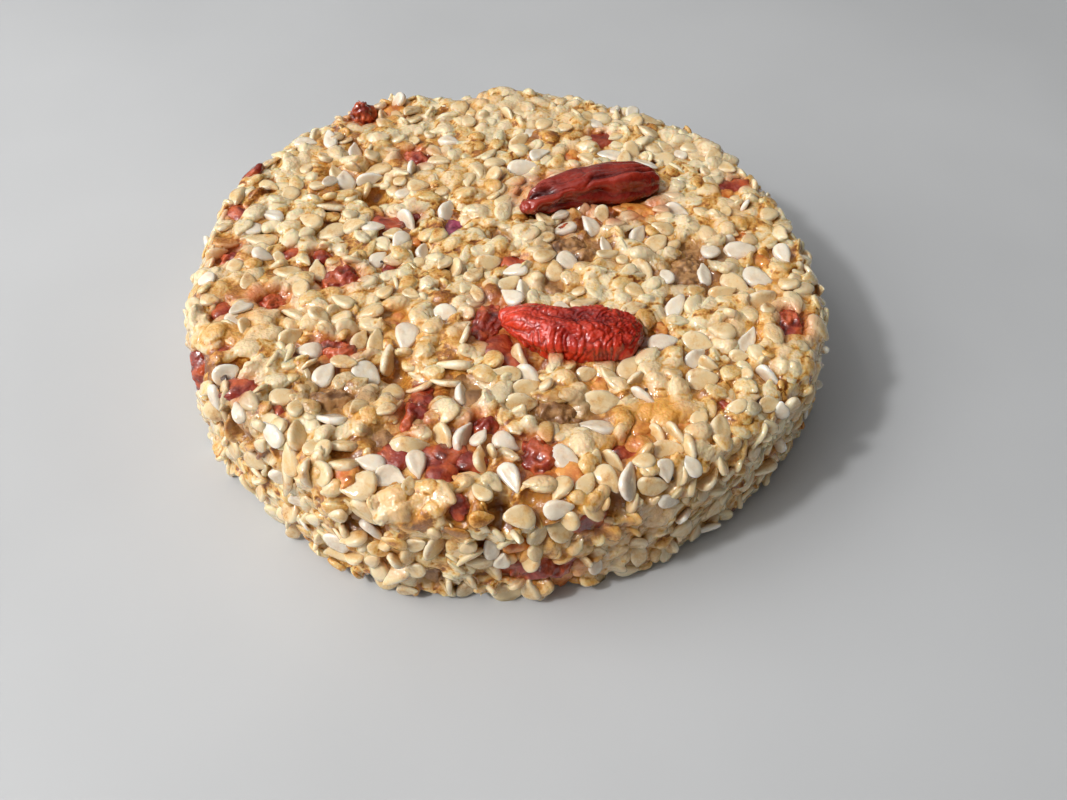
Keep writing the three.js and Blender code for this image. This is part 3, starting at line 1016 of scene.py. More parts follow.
def fill_skin(most, middle_size, level, unevenness, contact, kind):
    """Drops seeds until `most` lie or nearly every one stands out over `level`."""
    thrown_back, kept = 0, 0
    while kept < most and thrown_back < patience:
        points, normals = skin_places(at_once * tries_each)
        turns = random_turns(normals, leaning(normals))
        sizes = middle_size + size_spread * np.clip(chance.normal(size=at_once), -2, 2)
        sizes = np.repeat(sizes, tries_each)
        rest = resting_depths(points, normals, turns, sizes, contact * len(probe))
        score = (rest - luck * chance.random(len(rest))).reshape(at_once, tries_each)
        for best in score.argmin(axis=1) + np.arange(at_once) * tries_each:
            rough = unevenness * (2 - abs(normals[best, 2]))
            if rest[best] > level + min(chance.exponential(rough), furthest_out):
                thrown_back += 1
                continue
            thrown_back = 0
            kept += 1
            where = points[best] + normals[best] * rest[best]
            keep_seed(where, turns[best], sizes[best], normals[best], kind)
    return kept


for name, seed_round in seed_rounds.items():
    print(name, "seeds dropped:", fill_skin(*seed_round))

place, turn, size, out, kind = (np.array(seeds[key]) for key in seeds)
print("seeds:", len(place), "highest", place[:, 2].max().round(2))

# %% [markdown]
# Seeds deep inside can't be seen. A seed counts as shown if enough of its points can look out
# along the normal, or a little to either side of it, without meeting another seed. A clean seed
# that shows at all gets a form of its own. A sunken one gets it only where nearly all of it
# shows, and the others melt into the honeyed mass.

# %% Which seeds show
look_steps = np.arange(1.0, 3.2, 0.25)
look_leans = ((0, 0, 0), (0.6, 0, 0.2), (-0.6, 0, 0.2), (0, -0.6, 0.3), (0, 0.6, 0.2))
clean_shows = 0.09
sunken_shows = 0.7


def shown_share(place, turn, size, out):
    felt = place[:, None, :] + np.einsum("nij,pj->npi", turn, probe) * size[:, None, None]
    best = np.zeros(len(place))
    for lean in look_leans:
        look = unit(out + np.array(lean))
        path = felt[:, :, None, :] + look[:, None, None, :] * look_steps[None, None, :, None]
        free = ((flat_taken[cells(path)] & TOUCH) == 0).all(axis=2)
        best = np.maximum(best, free.mean(axis=1))
    return best


open_share = shown_share(place, turn, size, out)
clean = kind < SUNKEN
in_mass = ~clean
own_form = np.where(clean, open_share > clean_shows, open_share > sunken_shows) & (kind != CRUSHED)
own_form[:placed_count] = True
print("seeds with a form of their own:", int(own_form.sum()), "in the mass:", int(in_mass.sum()))

# %% [markdown]
# ## Stains, hollows and honey
# Near torn fruit the seeds are stained red or brown, and in some places honey has run together
# into an orange pool. Stains could be painted on each mesh by hand. As soft spots in space they
# are shared: seeds and honey that meet at a place have its colour. A hollow is where the cubes
# round a point are mostly taken: there the honey is thick, and its colour is darkened as painted
# shade. A pool has its pixel, its spread in millimetres and its strength.

# %% Stains, pools and hollows
red_fruit = [name for name in fruit_names if "goji" in name or name == "honeyed_piece_left"]
brown_fruit = [name for name in fruit_names if name not in red_fruit]
honey_pools = {
    "orange_right": (660, 418, 3.0, 0.95),
    "orange_right_low": (630, 445, 2.4, 0.9),
    "left": (262, 290, 3.0, 0.6),
    "left_rim": (300, 330, 2.4, 0.4),
    "above_middle": (470, 190, 3.0, 0.35),
    "right_front": (770, 330, 2.6, 0.6),
    "right_back": (725, 230, 3.0, 0.45),
    "below_berry": (575, 392, 2.0, 0.5),
    "left_front": (372, 418, 2.0, 0.6),
    "side_front": (440, 520, 3.0, 0.5),
    "side_right": (640, 520, 4.0, 0.6),
    "side_left": (330, 470, 2.4, 0.4),
    "low_front": (560, 560, 3.0, 0.8),
    "orange_left": (392, 325, 2.2, 0.7),
    "front_brown": (445, 470, 2.6, 0.7),
    "front_left_low": (395, 505, 3.4, 0.6),
    "front_right_low": (585, 505, 3.0, 0.7),
    "middle_left": (430, 345, 2.6, 0.5),
    "left_edge": (245, 330, 3.0, 0.5),
    "right_edge": (760, 290, 2.4, 0.5),
    "back_left": (345, 165, 3.0, 0.4),
    "back_middle": (560, 125, 2.6, 0.4),
    "above_front_berry": (560, 262, 2.6, 0.45),
}
pool_spots = []
for across_px, down_px, spread, strength in honey_pools.values():
    pool_spots.append((place_on_skin(across_px, down_px)[0], spread, strength))
print("honey pools:", len(pool_spots))

# %% [markdown]
# Each kind of spot is a function of place that gives a share from 0 to 1. Fruit counts as an egg
# as large as its box, a small bit as a ball and a pool as a round hill, all with soft edges.

# %% How near fruit, pools and gaps are


def near_fruit(points, names, reach):
    """From 0 far from these fruits to 1 at them."""
    near = np.zeros(len(points))
    for name in names:
        low, high = (np.array(corner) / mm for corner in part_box(name))
        half = (high - low) / 2 + 0.2
        away = np.linalg.norm((points - (low + high) / 2) / half, axis=1) - 1
        near = np.maximum(near, np.exp(-((np.maximum(away, 0) * half.mean() / reach) ** 2)))
    return near


def near_bits(points, kinds, reach):
    """From 0 far from small bits of these kinds to 1 at them."""
    near = np.zeros(len(points))
    for place, _, wide, kind in bit_places.values():
        if kind in kinds:
            away = np.maximum(np.linalg.norm(points - place, axis=1) - wide / 2, 0)
            near = np.maximum(near, np.exp(-((away / reach) ** 2)))
    return near


def pool_share(points):
    """From 0 outside the pools of honey to the strength of a pool in its middle."""
    share = np.zeros(len(points))
    for middle, spread, strength in pool_spots:
        share = np.maximum(share, strength * hill(np.linalg.norm(points - middle, axis=1), spread))
    return share


# This mask is used only to paint shade into the dark gaps.
def in_gap(points):
    """From 0 outside the dark gaps to 1 deep in one."""
    share = np.zeros(len(points))
    for middle, out, wide in gap_places:
        share += hill(np.linalg.norm(points - middle + out * 0.8, axis=1), wide * 0.6)
    return share


# %% [markdown]
# The voxel box knows how crowded each place is: a running sum over the cubes along each of the
# three directions gives the share that is taken round every cube. Crowded places are hollows
# between seeds: honey gathers there, and they are darkened as painted shade.

# %% How crowded each place is


def fullness_grid():
    """The share of taken cubes in a cube of seven round every one."""
    total = (taken & TOUCH).astype(np.float32)
    reach = 3
    whole = 2 * reach + 1
    for axis in range(3):
        total = np.moveaxis(total, axis, 0)
        run = np.cumsum(np.pad(total, ((reach + 1, reach), (0, 0), (0, 0))), axis=0)
        total = np.moveaxis((run[whole:] - run[:-whole]) / whole, 0, axis)
    return np.ascontiguousarray(total).reshape(-1)


fullness = fullness_grid()
print("fullness on the skin:", np.percentile(fullness[cells(place[own_form])], (10, 50, 90)).round(2))

# %% [markdown]
# Now the spots are put together into the marks that the meshes carry. Patches of noise break the
# stains up, because juice soaks in unevenly. Hollows and the dark gaps get a mark that paints shade
# there, along with thick honey. A second mark grows with how far a point lies under the skin,
# which is partly the honey over it and partly painted shade. It counts seeds in the side as more
# sunk than those on top, which paints shade on the side of the cookie.

# %% Marks for the meshes


def on_side(points):
    """From 0 on the top to 1 on the side."""
    far_out = smoothstep(np.linalg.norm(points[:, :2], axis=1), 27.0, 29.5)
    return far_out * (1 - smoothstep(points[:, 2], 11.0, 12.6))


def food_marks(points):
    """For each point, from 0 to 1: stains, pools, hollows and depth, the last two with painted shade."""
    patch = waves(points, 1.8, 7)
    pool_patch = waves(points, 2.2, 5)
    red = np.maximum(near_fruit(points, red_fruit, 0.9), near_bits(points, ("berry",), 0.6))
    brown_bits = 0.9 * near_bits(points, ("brown", "speck"), 0.7)
    brown = np.maximum(near_fruit(points, brown_fruit, 1.3), brown_bits)
    pool = np.maximum(pool_share(points), 0.8 * near_bits(points, ("orange",), 0.9))
    crowded = (fullness[cells(points)] - 0.52) / 0.3
    under = smoothstep(depth_under_skin(points), -0.1, 0.85)
    return {
        "red": np.clip(red * (0.55 + 0.6 * patch), 0, 1),
        "brown": np.clip(brown * (0.6 + 0.6 * patch), 0, 1),
        "pool": np.clip(pool * (0.8 + 0.8 * pool_patch), 0, 1),
        # Painted shade: hollows between seeds and the dark gaps are darkened by this mark.
        "deep": np.clip(np.maximum(crowded, in_gap(points)), 0, 1),
        # Honey and painted shade: points deep under the skin are darker, and the side gets painted shade.
        "sunk_honey_and_shade": np.clip(under + 0.18 * on_side(points), 0, 1),
    }


skin_marks = food_marks(place[own_form])
for mark, share in skin_marks.items():
    print("mean of", mark, "on the seeds:", round(float(share.mean()), 2))

# %% [markdown]
# ## Five kinds of seed
# On a real cookie the seeds on top stay clean, white or creamy. Those sunk in the honey take its
# colours: golden, amber, and here and there a toasted one. Each kind is one mesh with its own
# material. The draw is shifted by wide waves, so that like seeds lie together here and there.

# %% Sort the seeds into kinds
kind_names = ("white_seeds", "cream_seeds", "golden_seeds", "amber_seeds", "toasted_seeds")
amber_from = 0.45
toasted_from = 0.93
draw = chance.random(len(place)) + 0.35 * waves(place, 5.0, 2)
kind = np.where(in_mass, SUNKEN + np.digitize(draw, (amber_from, toasted_from)), kind)
tone = chance.random(len(place))
print({name: int(((kind == k) & own_form).sum()) for k, name in enumerate(kind_names)})

# %% [markdown]
# All the seeds of one kind are moved into place at once with one matrix product, and their
# triangles are the triangles of one seed counted on. Before that each seed gets a taper, a nib and
# a dish of its own, is stretched a little in width, length and thickness, and is bent.

# %% Seeds to meshes
stretch_spread = np.array([0.1, 0.09, 0.16])
dish_width = 0.5
cup_spread = 0.06
bend_spread = 0.07


def varied(count, usual, spread, least, most):
    return np.clip(chance.normal(usual, spread, (count, 1)), least, most)


def joined_seeds(picked, around, rings):
    """Points and triangles of these seeds, and how many points each has."""
    shares, triangles = seed_rings(around, rings)
    count = len(picked)
    along, side, rise = shares.T
    taper = varied(count, usual_taper, spread=0.1, least=0.1, most=0.6)
    nib = varied(count, usual_nib, spread=0.12, least=0, most=0.4)
    dish = varied(count, usual_dish, spread=0.14, least=0, most=0.7)
    stretch = 1 + np.clip(chance.normal(size=(count, 3)), -2, 2) * stretch_spread
    half_width, half_thick = seed_girth(along[None], taper, nib)
    hollow = 1 - dish * np.exp(-((side / dish_width) ** 2)) * (1 - along**2)
    lengthwise = np.broadcast_to(0.5 * seed_length * along, hollow.shape)
    local = np.stack([half_width * side, lengthwise, half_thick * rise * hollow], axis=2)
    local *= (stretch * size[picked][:, None])[:, None, :]
    local[:, :, 2] += chance.normal(0, cup_spread, (count, 1)) * (local[:, :, 1] ** 2 - 1)
    local[:, :, 0] += chance.normal(0, bend_spread, (count, 1)) * local[:, :, 1] ** 2
    moved = (np.einsum("nij,npj->npi", turn[picked], local) + place[picked][:, None, :]).reshape(-1, 3)
    offsets = np.arange(count)[:, None, None] * len(shares)
    return moved, (triangles[None] + offsets).reshape(-1, 3), len(shares)


# %% [markdown]
# Each kind of seed becomes a mesh. Fine lumps on every seed catch the light, and its marks say how
# pale it is, where its rim is and what stains it. The clean seeds get more rings than the sunken
# ones, because the eye rests on them.

# %% Meshes of the five kinds


def rim_share(along, side):
    """From 0 in the middle of a seed's faces to 1 at its rim."""
    return 1 - (1 - side**2) * np.sqrt(1 - along**2)


tone_step = 0.35
lump_height = 0.05
first_lump_layer = 50


def seed_piece(name, picked, around, rings):
    points, triangles, each = joined_seeds(picked, around, rings)
    points += lump_height * np.stack([waves(points, 0.7, first_lump_layer + k) for k in range(3)], axis=1)
    points[:, 2] = np.maximum(points[:, 2], 0.01)
    along, side, _ = seed_rings(around, rings)[0].T
    marks = food_marks(points)
    marks["tone"] = np.repeat(tone[picked] - tone_step * np.maximum(kind[picked] - SUNKEN, 0), each)
    marks["crack"] = np.zeros(len(points))
    marks["rim"] = np.tile(rim_share(along, side), len(picked))
    return tri_mesh(name, points, triangles, marks)


seed_steps = {"white_seeds": (14, 10), "cream_seeds": (14, 10)}
usual_steps = (9, 7)
seed_pieces = {}
for number, name in enumerate(kind_names):
    picked = np.flatnonzero((kind == number) & own_form)
    seed_pieces[name] = seed_piece(name, picked, *seed_steps.get(name, usual_steps))
    print(name, len(picked), "seeds,", len(seed_pieces[name].data.polygons), "triangles")

# %% [markdown]
# ## The honeyed mass
# Most seeds are sunk in a sticky mass of honey and crushed seeds. A single skin with painted seeds
# would look flat at the rim, and thousands of separate seeds would look dry. So the mass is made
# from the same seeds over a plain core: a voxel remesh wraps one skin round the lot, and a little
# smoothing rounds the cracks, as thick syrup does. Where honey has run together it stands higher,
# a few clumps at the skyline rise further, and in the gaps and on the side it is sunk. Each point
# of the skin looks up the seed that it wraps, to take that seed's tone and pale rim, and points
# halfway between two seeds are marked as cracks.

# %% The core of the mass
mass_voxel = 0.33
most_mass_triangles = 195_000
honey_inset = 0.8
core_foot = 0.55
core_rows = 60
core_columns = 96


def core_shape():
    """A rounded disc just under the skin, in rings from the middle of its top to the middle below."""
    around = core_columns
    rows = section[np.linspace(0, len(section) - 1, core_rows).astype(int)]
    inset = rows[:, :2] - rows[:, 2:] * honey_inset
    inset[:, 0] = np.maximum(inset[:, 0], 0.001)
    inset[:, 1] = np.maximum(inset[:, 1], core_foot)
    turns = np.arange(around) / around * 2 * np.pi
    points = np.stack([
        np.outer(inset[:, 0], np.cos(turns)),
        np.outer(inset[:, 0], np.sin(turns)),
        np.outer(inset[:, 1], np.ones(around)),
    ], axis=-1).reshape(-1, 3)
    triangles = []
    for row in range(len(rows) - 1):
        for step in range(around):
            after = (step + 1) % around
            a, b = row * around + step, row * around + after
            c, d = a + around, b + around
            triangles += [[a, c, d], [a, d, b]]
    last = (len(rows) - 1) * around
    triangles += [[0, step, step + 1] for step in range(1, around - 1)]
    triangles += [[last, last + step + 1, last + step] for step in range(1, around - 1)]
    return pressed(points), np.array(triangles)


core_points, core_triangles = core_shape()
print("core:", len(core_triangles), "triangles")

# %% [markdown]
# How high the honey stands is again a sum of soft hills: ripples, wide swells and the pools, less
# the gaps and the side, where it has run off. A clump has its pixel, its width and its rise.

# %% How high the honey stands
clumps = {
    "right_skyline": (707, 152, 1.3, 1.0),
    "back_skyline": (497, 98, 2.2, 0.9),
    "back_skyline_left": (474, 99, 1.6, 0.6),
}


def honey_level(points):
    """How far the honey stands above or below the smoothed mass."""
    ripples = 0.1 * waves(points, 0.9, 3)
    swells = 0.14 * waves(points, 3.0, 4)
    level = 0.07 + ripples + swells + 0.3 * pool_share(points)
    for middle, out, wide in gap_places:
        level -= gap_depth * hill(np.linalg.norm(points - middle + out * 0.4, axis=1), wide * 0.7)
    level -= 0.14 * on_side(points)
    for across_px, down_px, wide, rise in clumps.values():
        middle, _ = place_on_skin(across_px, down_px)
        level += rise * hill(np.linalg.norm(points - middle, axis=1), wide)
    return level


print("clumps at the skyline:", len(clumps))

# %% [markdown]
# Each seed puts three spots along its length into a search tree. A point of the skin asks for the
# spots nearest to it, and measures from the seeds that they belong to, in shares of a seed's own
# width, length and thickness. The seed that it is nearest to is the one that it wraps. Where the
# next one is almost as near, there is a crack.

# %% Which seed each point wraps
stations = np.array([-0.85, 0.0, 0.85])
spots_looked_up = 6
far_off = 9.0
crack_width = 0.4
crack_depth = 0.12


def wrapped_marks(points, picked):
    """For each point the tone and rim of the seed that it wraps, and how much it lies in a crack."""
    tree = KDTree(len(picked) * len(stations))
    steps = size[picked][:, None] * stations
    spine = place[picked][:, None] + turn[picked][:, None, :, 1] * steps[:, :, None]
    for number, spot in enumerate(spine.reshape(-1, 3)):
        tree.insert(spot, number)
    tree.balance()
    found = [[spot[1] for spot in tree.find_n(point, spots_looked_up)] for point in points]
    seed = picked[np.array(found) // len(stations)]
    local = np.einsum("nkij,nki->nkj", turn[seed], points[:, None] - place[seed]) / size[seed][..., None]
    share = local / (0.5 * np.array([seed_width, seed_length, seed_thickness]))
    away = np.linalg.norm(share, axis=2)
    first = away.argmin(axis=1)
    rows = np.arange(len(points))
    wrapped = seed[rows, first]
    closest = away[rows, first]
    away[seed == wrapped[:, None]] = far_off
    side, along = np.clip(share[rows, first, :2], -1, 1).T
    return {
        "tone": tone[wrapped] - tone_step * (kind[wrapped] - SUNKEN),
        "rim": rim_share(along, side),
        "crack": np.clip(1 - (away.min(axis=1) - closest) / crack_width, 0, 1),
    }


# %% [markdown]
# The last step puts the mass together: core and seeds are remeshed into one skin, thinned,
# smoothed, marked, and raised or sunk by the level of the honey.

# %% The honeyed mass
mass_seeds = np.flatnonzero(in_mass)
seed_points, seed_triangles, _ = joined_seeds(mass_seeds, 8, 6)
mass_points, mass_triangles = remeshed(
    np.concatenate([core_points, seed_points]),
    np.concatenate([core_triangles, seed_triangles + len(core_points)]),
    mass_voxel,
)
mass_points, mass_triangles = thinned(mass_points, mass_triangles, most_mass_triangles)
mass_points = smoothed(mass_points, mass_triangles, 2)
mass_marks = food_marks(mass_points) | wrapped_marks(mass_points, mass_seeds)
mass_lift = honey_level(mass_points) - crack_depth * mass_marks["crack"]
mass_points += normals_of(mass_points, mass_triangles) * mass_lift[:, None]
mass_points[:, 2] = np.maximum(mass_points[:, 2], 0.0)
honey_mass = tri_mesh("honey_mass", mass_points, mass_triangles, mass_marks)
print("honey mass:", len(mass_triangles), "triangles")

# %% [markdown]
# ## The berries
# A dried berry is a thin skin over a pulp that has shrunk, so the skin lies in folds: rounded
# crests with sharp creases between them. Sculpting by hand would do, and so would a bump in the
# material, but a bump leaves the outline smooth. The solid model gives each berry its form, and a
# copy is remeshed finely and pushed in and out along its normals. The front berry has short
# wrinkles that wander round its near side, a hollow on its back and fine ridges at its left end.
# The back one has long creases and a mouth at its left end. How deep a point lies in a fold, and
# how warm its red is, go to the material as marks: the folds get painted shade, and the warm mark
# carries some painted light.

# %% Fine copies of the fruit


def fine_fruit(name, fine, rounds=6):
    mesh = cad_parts[name].data
    points, triangles = remeshed(points_of(mesh), triangles_of(mesh), fine)
    return smoothed(points, triangles, rounds), triangles


def raised(points, triangles, lift):
    """The points pushed out along their normals by `lift` millimetres."""
    return points + normals_of(points, triangles) * lift[:, None]


def berry_frame(points):
    """Distance along a berry from its middle, and the angle round it: a quarter turn is up."""
    middle = points.mean(axis=0)
    _, _, axes = np.linalg.svd((points - middle)[::7], full_matrices=False)
    along_axis = axes[0] * np.sign(axes[0][0])
    across_axis = unit(np.cross([0, 0, 1.0], along_axis))
    angle = np.arctan2(points[:, 2] - middle[2], (points - middle) @ across_axis)
    return (points - middle) @ along_axis, np.where(angle < -1, angle + 2 * np.pi, angle)


def folds(along, angle, girth, long, wide, warp, layer):
    """Rounded crests and sharp creases: 0 in a crease, 1 on a crest."""
    field = np.stack([along / long + warp, angle * girth / wide + 1.3 * warp, 0 * along], axis=1)
    return np.clip(np.abs(waves(field, 1.0, layer)) * 2.6, 0, 1) ** 0.6


# %% [markdown]
# Every fold is a share from 0 to 1, and the shares add up to one number, the lift: how far each
# point moves out or in. The front berry has short wrinkles on its near side, flatter facets on
# its back and ridges at its left end.

# %% The front berry


def front_berry():
    points, triangles = fine_fruit("goji_front", 0.1)
    along, angle = berry_frame(points)
    warp = waves(points, 1.5, 11)
    left_end = 1 - smoothstep(along, -4.9, -3.6)
    near_side = smoothstep(angle + 0.3 * waves(points, 2.0, 15), 2.1, 2.6)
    ribs = folds(along, angle, 2.6, 0.66, 2.4, 0.45 * warp, 12)
    facets = folds(along, angle, 2.6, 2.0, 1.3, 0.7 * warp, 19)
    ridges = folds(along, angle, 2.0, 3.6, 0.6, 0.3 * warp, 13)
    fine = np.clip(np.abs(waves(points + 0.2 * warp[:, None], 0.45, 14)) * 2.5, 0, 1)
    back_form = 0.75 * facets + 0.25 * fine
    wrinkle = (back_form + (ribs - back_form) * near_side) * (1 - left_end) + ridges * left_end
    middle_hollow = hill(along + 0.3, 1.4) * hill(angle - 1.5, 0.3)
    right_hollow = 0.6 * hill(along - 3.0, 0.7) * hill(angle - 1.4, 0.4)
    hollow = middle_hollow + right_hollow
    swells = 0.3 * waves(points, 2.4, 16)
    lift = 0.2 * (wrinkle - 0.6) + 0.05 * (fine - 0.5) - 0.5 * hollow + swells + 0.04
    points = raised(points, triangles, lift)
    # Painted shade: darker in the creases between wrinkles and in the hollows.
    groove_shade = np.clip(0.95 - 0.8 * wrinkle - 0.15 * fine + 0.7 * hollow, 0, 1)
    # Painted light: the left end, which faces the light, is warmer and lighter, and the drooping right
    # end is darker. The noise in this mark is the berry's own mottling.
    drooping = smoothstep(along, 3.8, 5.6)
    warm = np.clip(0.5 + 0.6 * waves(points, 1.6, 17) + 0.35 * left_end - 0.4 * drooping, 0, 1)
    return tri_mesh("front_berry", points, triangles, {"groove_shade": groove_shade, "warm": warm})


# %% [markdown]
# The back berry is folded the other way. Its creases run from end to end, with one strong ridge
# and a crease beside it, and its left end is crumpled round a mouth.

# %% The back berry


def back_berry():
    points, triangles = fine_fruit("goji_back", 0.11)
    along, angle = berry_frame(points)
    warp = 0.6 * waves(points, 2.6, 21)
    creases = folds(along, angle, 2.1, 7.0, 1.9, warp, 22)
    small = folds(along, angle, 2.1, 2.6, 0.9, warp, 26)
    left_end = 1 - smoothstep(along, -5.4, -3.8)
    right_half = smoothstep(along, -1.5, 0.5)
    long_ridge = hill(angle - 2.35 + 0.06 * along + 0.2 * warp, 0.2)
    long_crease = hill(angle - 1.92 + 0.2 * warp, 0.13) * right_half
    mouth = left_end * hill(angle - 2.1, 0.35)
    crumple = left_end * (small - 0.5)
    lift = 0.16 * (creases - 0.75) + 0.04 * (small - 0.5) + 0.18 * long_ridge - 0.32 * long_crease
    lift += 0.2 * waves(points, 2.4, 24) - 0.5 * mouth + 0.25 * crumple + 0.06
    points = raised(points, triangles, lift)
    # Painted shade: darker in the creases and the mouth, and lighter on the long ridge.
    groove_shade = 0.75 - 0.6 * creases - 0.1 * small + 0.8 * long_crease + mouth - 0.4 * long_ridge
    # Painted light: the top band, the long ridge and the left end are lighter, where light falls on them.
    # The noise in this mark is the berry's own mottling.
    top_band = hill(angle - 1.35, 0.35)
    warm = 0.3 + 0.4 * waves(points, 1.8, 25) + 0.35 * top_band + 0.5 * long_ridge + 0.3 * left_end
    marks = {"groove_shade": np.clip(groove_shade, 0, 1), "warm": np.clip(warm, 0, 1)}
    return tri_mesh("back_berry", points, triangles, marks)


berries = {"goji_front": front_berry(), "goji_back": back_berry()}
print({name: len(piece.data.polygons) for name, piece in berries.items()})

# %% [markdown]
# ## Torn scraps and brown fruit
# Torn scraps are lumps of wet skin and pulp with no clean edge. Their solid is a pebble, so the
# fine copy is pulled about more strongly, by soft lumps, sharp creases and fine grains, and the
# creases get painted shade. The brown pieces are granular, like the inside of a dried fruit, so
# small round grains are raised all over them, with painted shade between them. The small bits
# start as flattened balls and get the same treatment, weaker on small ones.

# %% Torn and grainy forms
grain_width = 0.65
most_grains = 160


def torn_shape(points, triangles, strength):
    """Points, triangles and marks of a form that is pulled about like torn fruit."""
    lumps = waves(points, 1.8, 31)
    crease = np.abs(waves(points, 0.9, 32))
    grains = waves(points, 0.4, 33)
    lift = 0.6 * lumps + 0.45 * (0.38 - np.minimum(crease, 0.8)) + 0.14 * grains - 0.18
    # Painted shade: darker in the creases.
    groove_shade = np.clip(1.5 * crease - 0.25 - 0.5 * grains, 0, 1)
    warm = np.clip(0.32 + 1.2 * waves(points, 1.3, 34), 0, 1)
    return raised(points, triangles, lift * strength), triangles, {"groove_shade": groove_shade, "warm": warm}


def grainy_shape(points, triangles, strength):
    """Points, triangles and marks of a form with small round grains all over."""
    middles = points[chance.choice(len(points), min(len(points), most_grains), replace=False)]
    nearest = np.full(len(points), np.inf)
    for middle in middles:
        nearest = np.minimum(nearest, ((points - middle) ** 2).sum(axis=1))
    bumps = np.sqrt(np.clip(1 - nearest / (0.5 * grain_width) ** 2, 0, 1))
    lift = 0.13 * bumps + 0.45 * waves(points, 1.7, 41) + 0.1 * waves(points, 0.35, 42) - 0.1
    warm = np.clip(0.5 + 0.9 * waves(points, 1.5, 43), 0, 1)
    # Painted shade: darker between the grains.
    marks = {"groove_shade": 0.7 * (1 - bumps), "warm": warm}
    return raised(points, triangles, lift * strength), triangles, marks


# %% [markdown]
# A small bit needs no solid of its own. A ball is stretched by chance, longer than it is wide and
# much flatter, turned so that it lies on the skin, and made ragged by noise of its own size.

# %% Small bits as flattened balls
ball_steps = (18, 14)
least_ball = (0.85, 1.0, 0.32)
most_ball = (1.2, 1.5, 0.46)
bit_thickness = {"speck": 0.45}
full_strength_width = 3.0


def ball_shape(place, out, wide, thick):
    """A small ball that is flatter along the way out, torn by noise of its own size."""
    shares, triangles = seed_rings(*ball_steps)
    round_off = np.sqrt(np.clip(1 - shares[:, :1] ** 2, 0, 1)) ** np.array([1, 0, 1])
    form = chance.uniform(least_ball, most_ball)
    local = shares[:, [1, 0, 2]] * round_off * 0.55 * wide * form
    local[:, 2] *= thick
    felt = local + place
    ragged = 1 + 0.5 * waves(felt, 0.75 * wide, 35) + 0.25 * waves(felt, 0.3 * wide, 36)
    turn_out = seed_turns(out[None], chance.normal(size=(1, 3)))[0]
    return (local * ragged[:, None]) @ turn_out.T + place, triangles


def bit_shapes(kind, finish):
    """The finished forms of all small bits of one kind."""
    shapes = []
    for place, out, wide, its_kind in bit_places.values():
        if its_kind == kind:
            ball = ball_shape(place, out, wide, bit_thickness.get(kind, 1.0))
            shapes.append(finish(*ball, min(1.0, wide / full_strength_width)))
    return shapes


# %% [markdown]
# One scrap stands up at the back rim, so its form is pinched together toward the top. Three scraps
# at the rim and in the side lie deep among the seeds, and are swollen a little to show between
# them. One brown piece is wrinkled like torn skin and not granular. At the end all scraps of one
# colour are joined into one mesh.

# %% Scraps at their places
standing_scraps = ("goji_piece_back_rim",)
swollen_scraps = {"goji_end_left": 0.7, "goji_piece_low": 0.4, "goji_piece_right_rim": 0.4}
wrinkled_brown = ("raisin_front",)
scrap_voxel = 0.17


def standing_flap(points):
    """Pinched together toward its top, as a torn end of skin stands up."""
    height = (points[:, 2:] - points[:, 2].min()) / np.ptp(points[:, 2])
    middle = points.mean(axis=0)[:2]
    pinched = middle + (points[:, :2] - middle) * (1.2 - 0.95 * height) - height * np.array([0.5, 0.0])
    return np.concatenate([pinched, points[:, 2:]], axis=1)


def torn_scrap(name):
    points, triangles = fine_fruit(name, scrap_voxel)
    points = points + normals_of(points, triangles) * swollen_scraps.get(name, 0.0)
    if name in standing_scraps:
        points = standing_flap(points)
    return torn_shape(points, triangles, 1.0)


def brown_scrap(name):
    finish = torn_shape if name in wrinkled_brown else grainy_shape
    return finish(*fine_fruit(name, scrap_voxel), 1.0)


def joined(shapes):
    points = np.concatenate([shape[0] for shape in shapes])
    starts = np.cumsum([0] + [len(shape[0]) for shape in shapes[:-1]])
    triangles = np.concatenate([shape[1] + start for shape, start in zip(shapes, starts)])
    marks = {key: np.concatenate([shape[2][key] for shape in shapes]) for key in shapes[0][2]}
    return points, triangles, marks


red_scraps = [name for name in red_fruit if name not in berries]
red_shapes = [torn_scrap(name) for name in red_scraps] + bit_shapes("berry", torn_shape)
red_scrap_piece = tri_mesh("berry_scraps", *joined(red_shapes))
brown_shapes = [brown_scrap(name) for name in brown_fruit] + bit_shapes("brown", grainy_shape)
brown_scrap_piece = tri_mesh("brown_fruit_pieces", *joined(brown_shapes))
orange_piece = tri_mesh("orange_jelly_bits", *joined(bit_shapes("orange", torn_shape)))
purple_piece = tri_mesh("purple_berry_bit", *joined(bit_shapes("purple", torn_shape)))
speck_piece = tri_mesh("dark_specks", *joined(bit_shapes("speck", torn_shape)))
for piece in (red_scrap_piece, brown_scrap_piece, orange_piece, purple_piece, speck_piece):
    print(piece.name, len(piece.data.polygons), "triangles")

# %% [markdown]
# ## Materials
# Every material here is a Principled shader with colours mixed from attributes and noise. Pictures
# of real seeds could be wrapped round the cookie, but they would bring their own light along, and
# smear on the side. Seeds and berries let light in a little, which is what subsurface scattering
# is for: without it, a seed looks like chalk. The helpers below keep each recipe short.

# %% Helpers for node recipes


def grey(value):
    return (value, value, value)


def new_material(name):
    material = bpy.data.materials.new(name)
    material.use_nodes = True
    nodes = material.node_tree.nodes
    return material, nodes, material.node_tree.links, nodes["Principled BSDF"]


def attribute_node(nodes, name):
    node = nodes.new("ShaderNodeAttribute")
    node.attribute_name = name
    return node.outputs["Fac"]


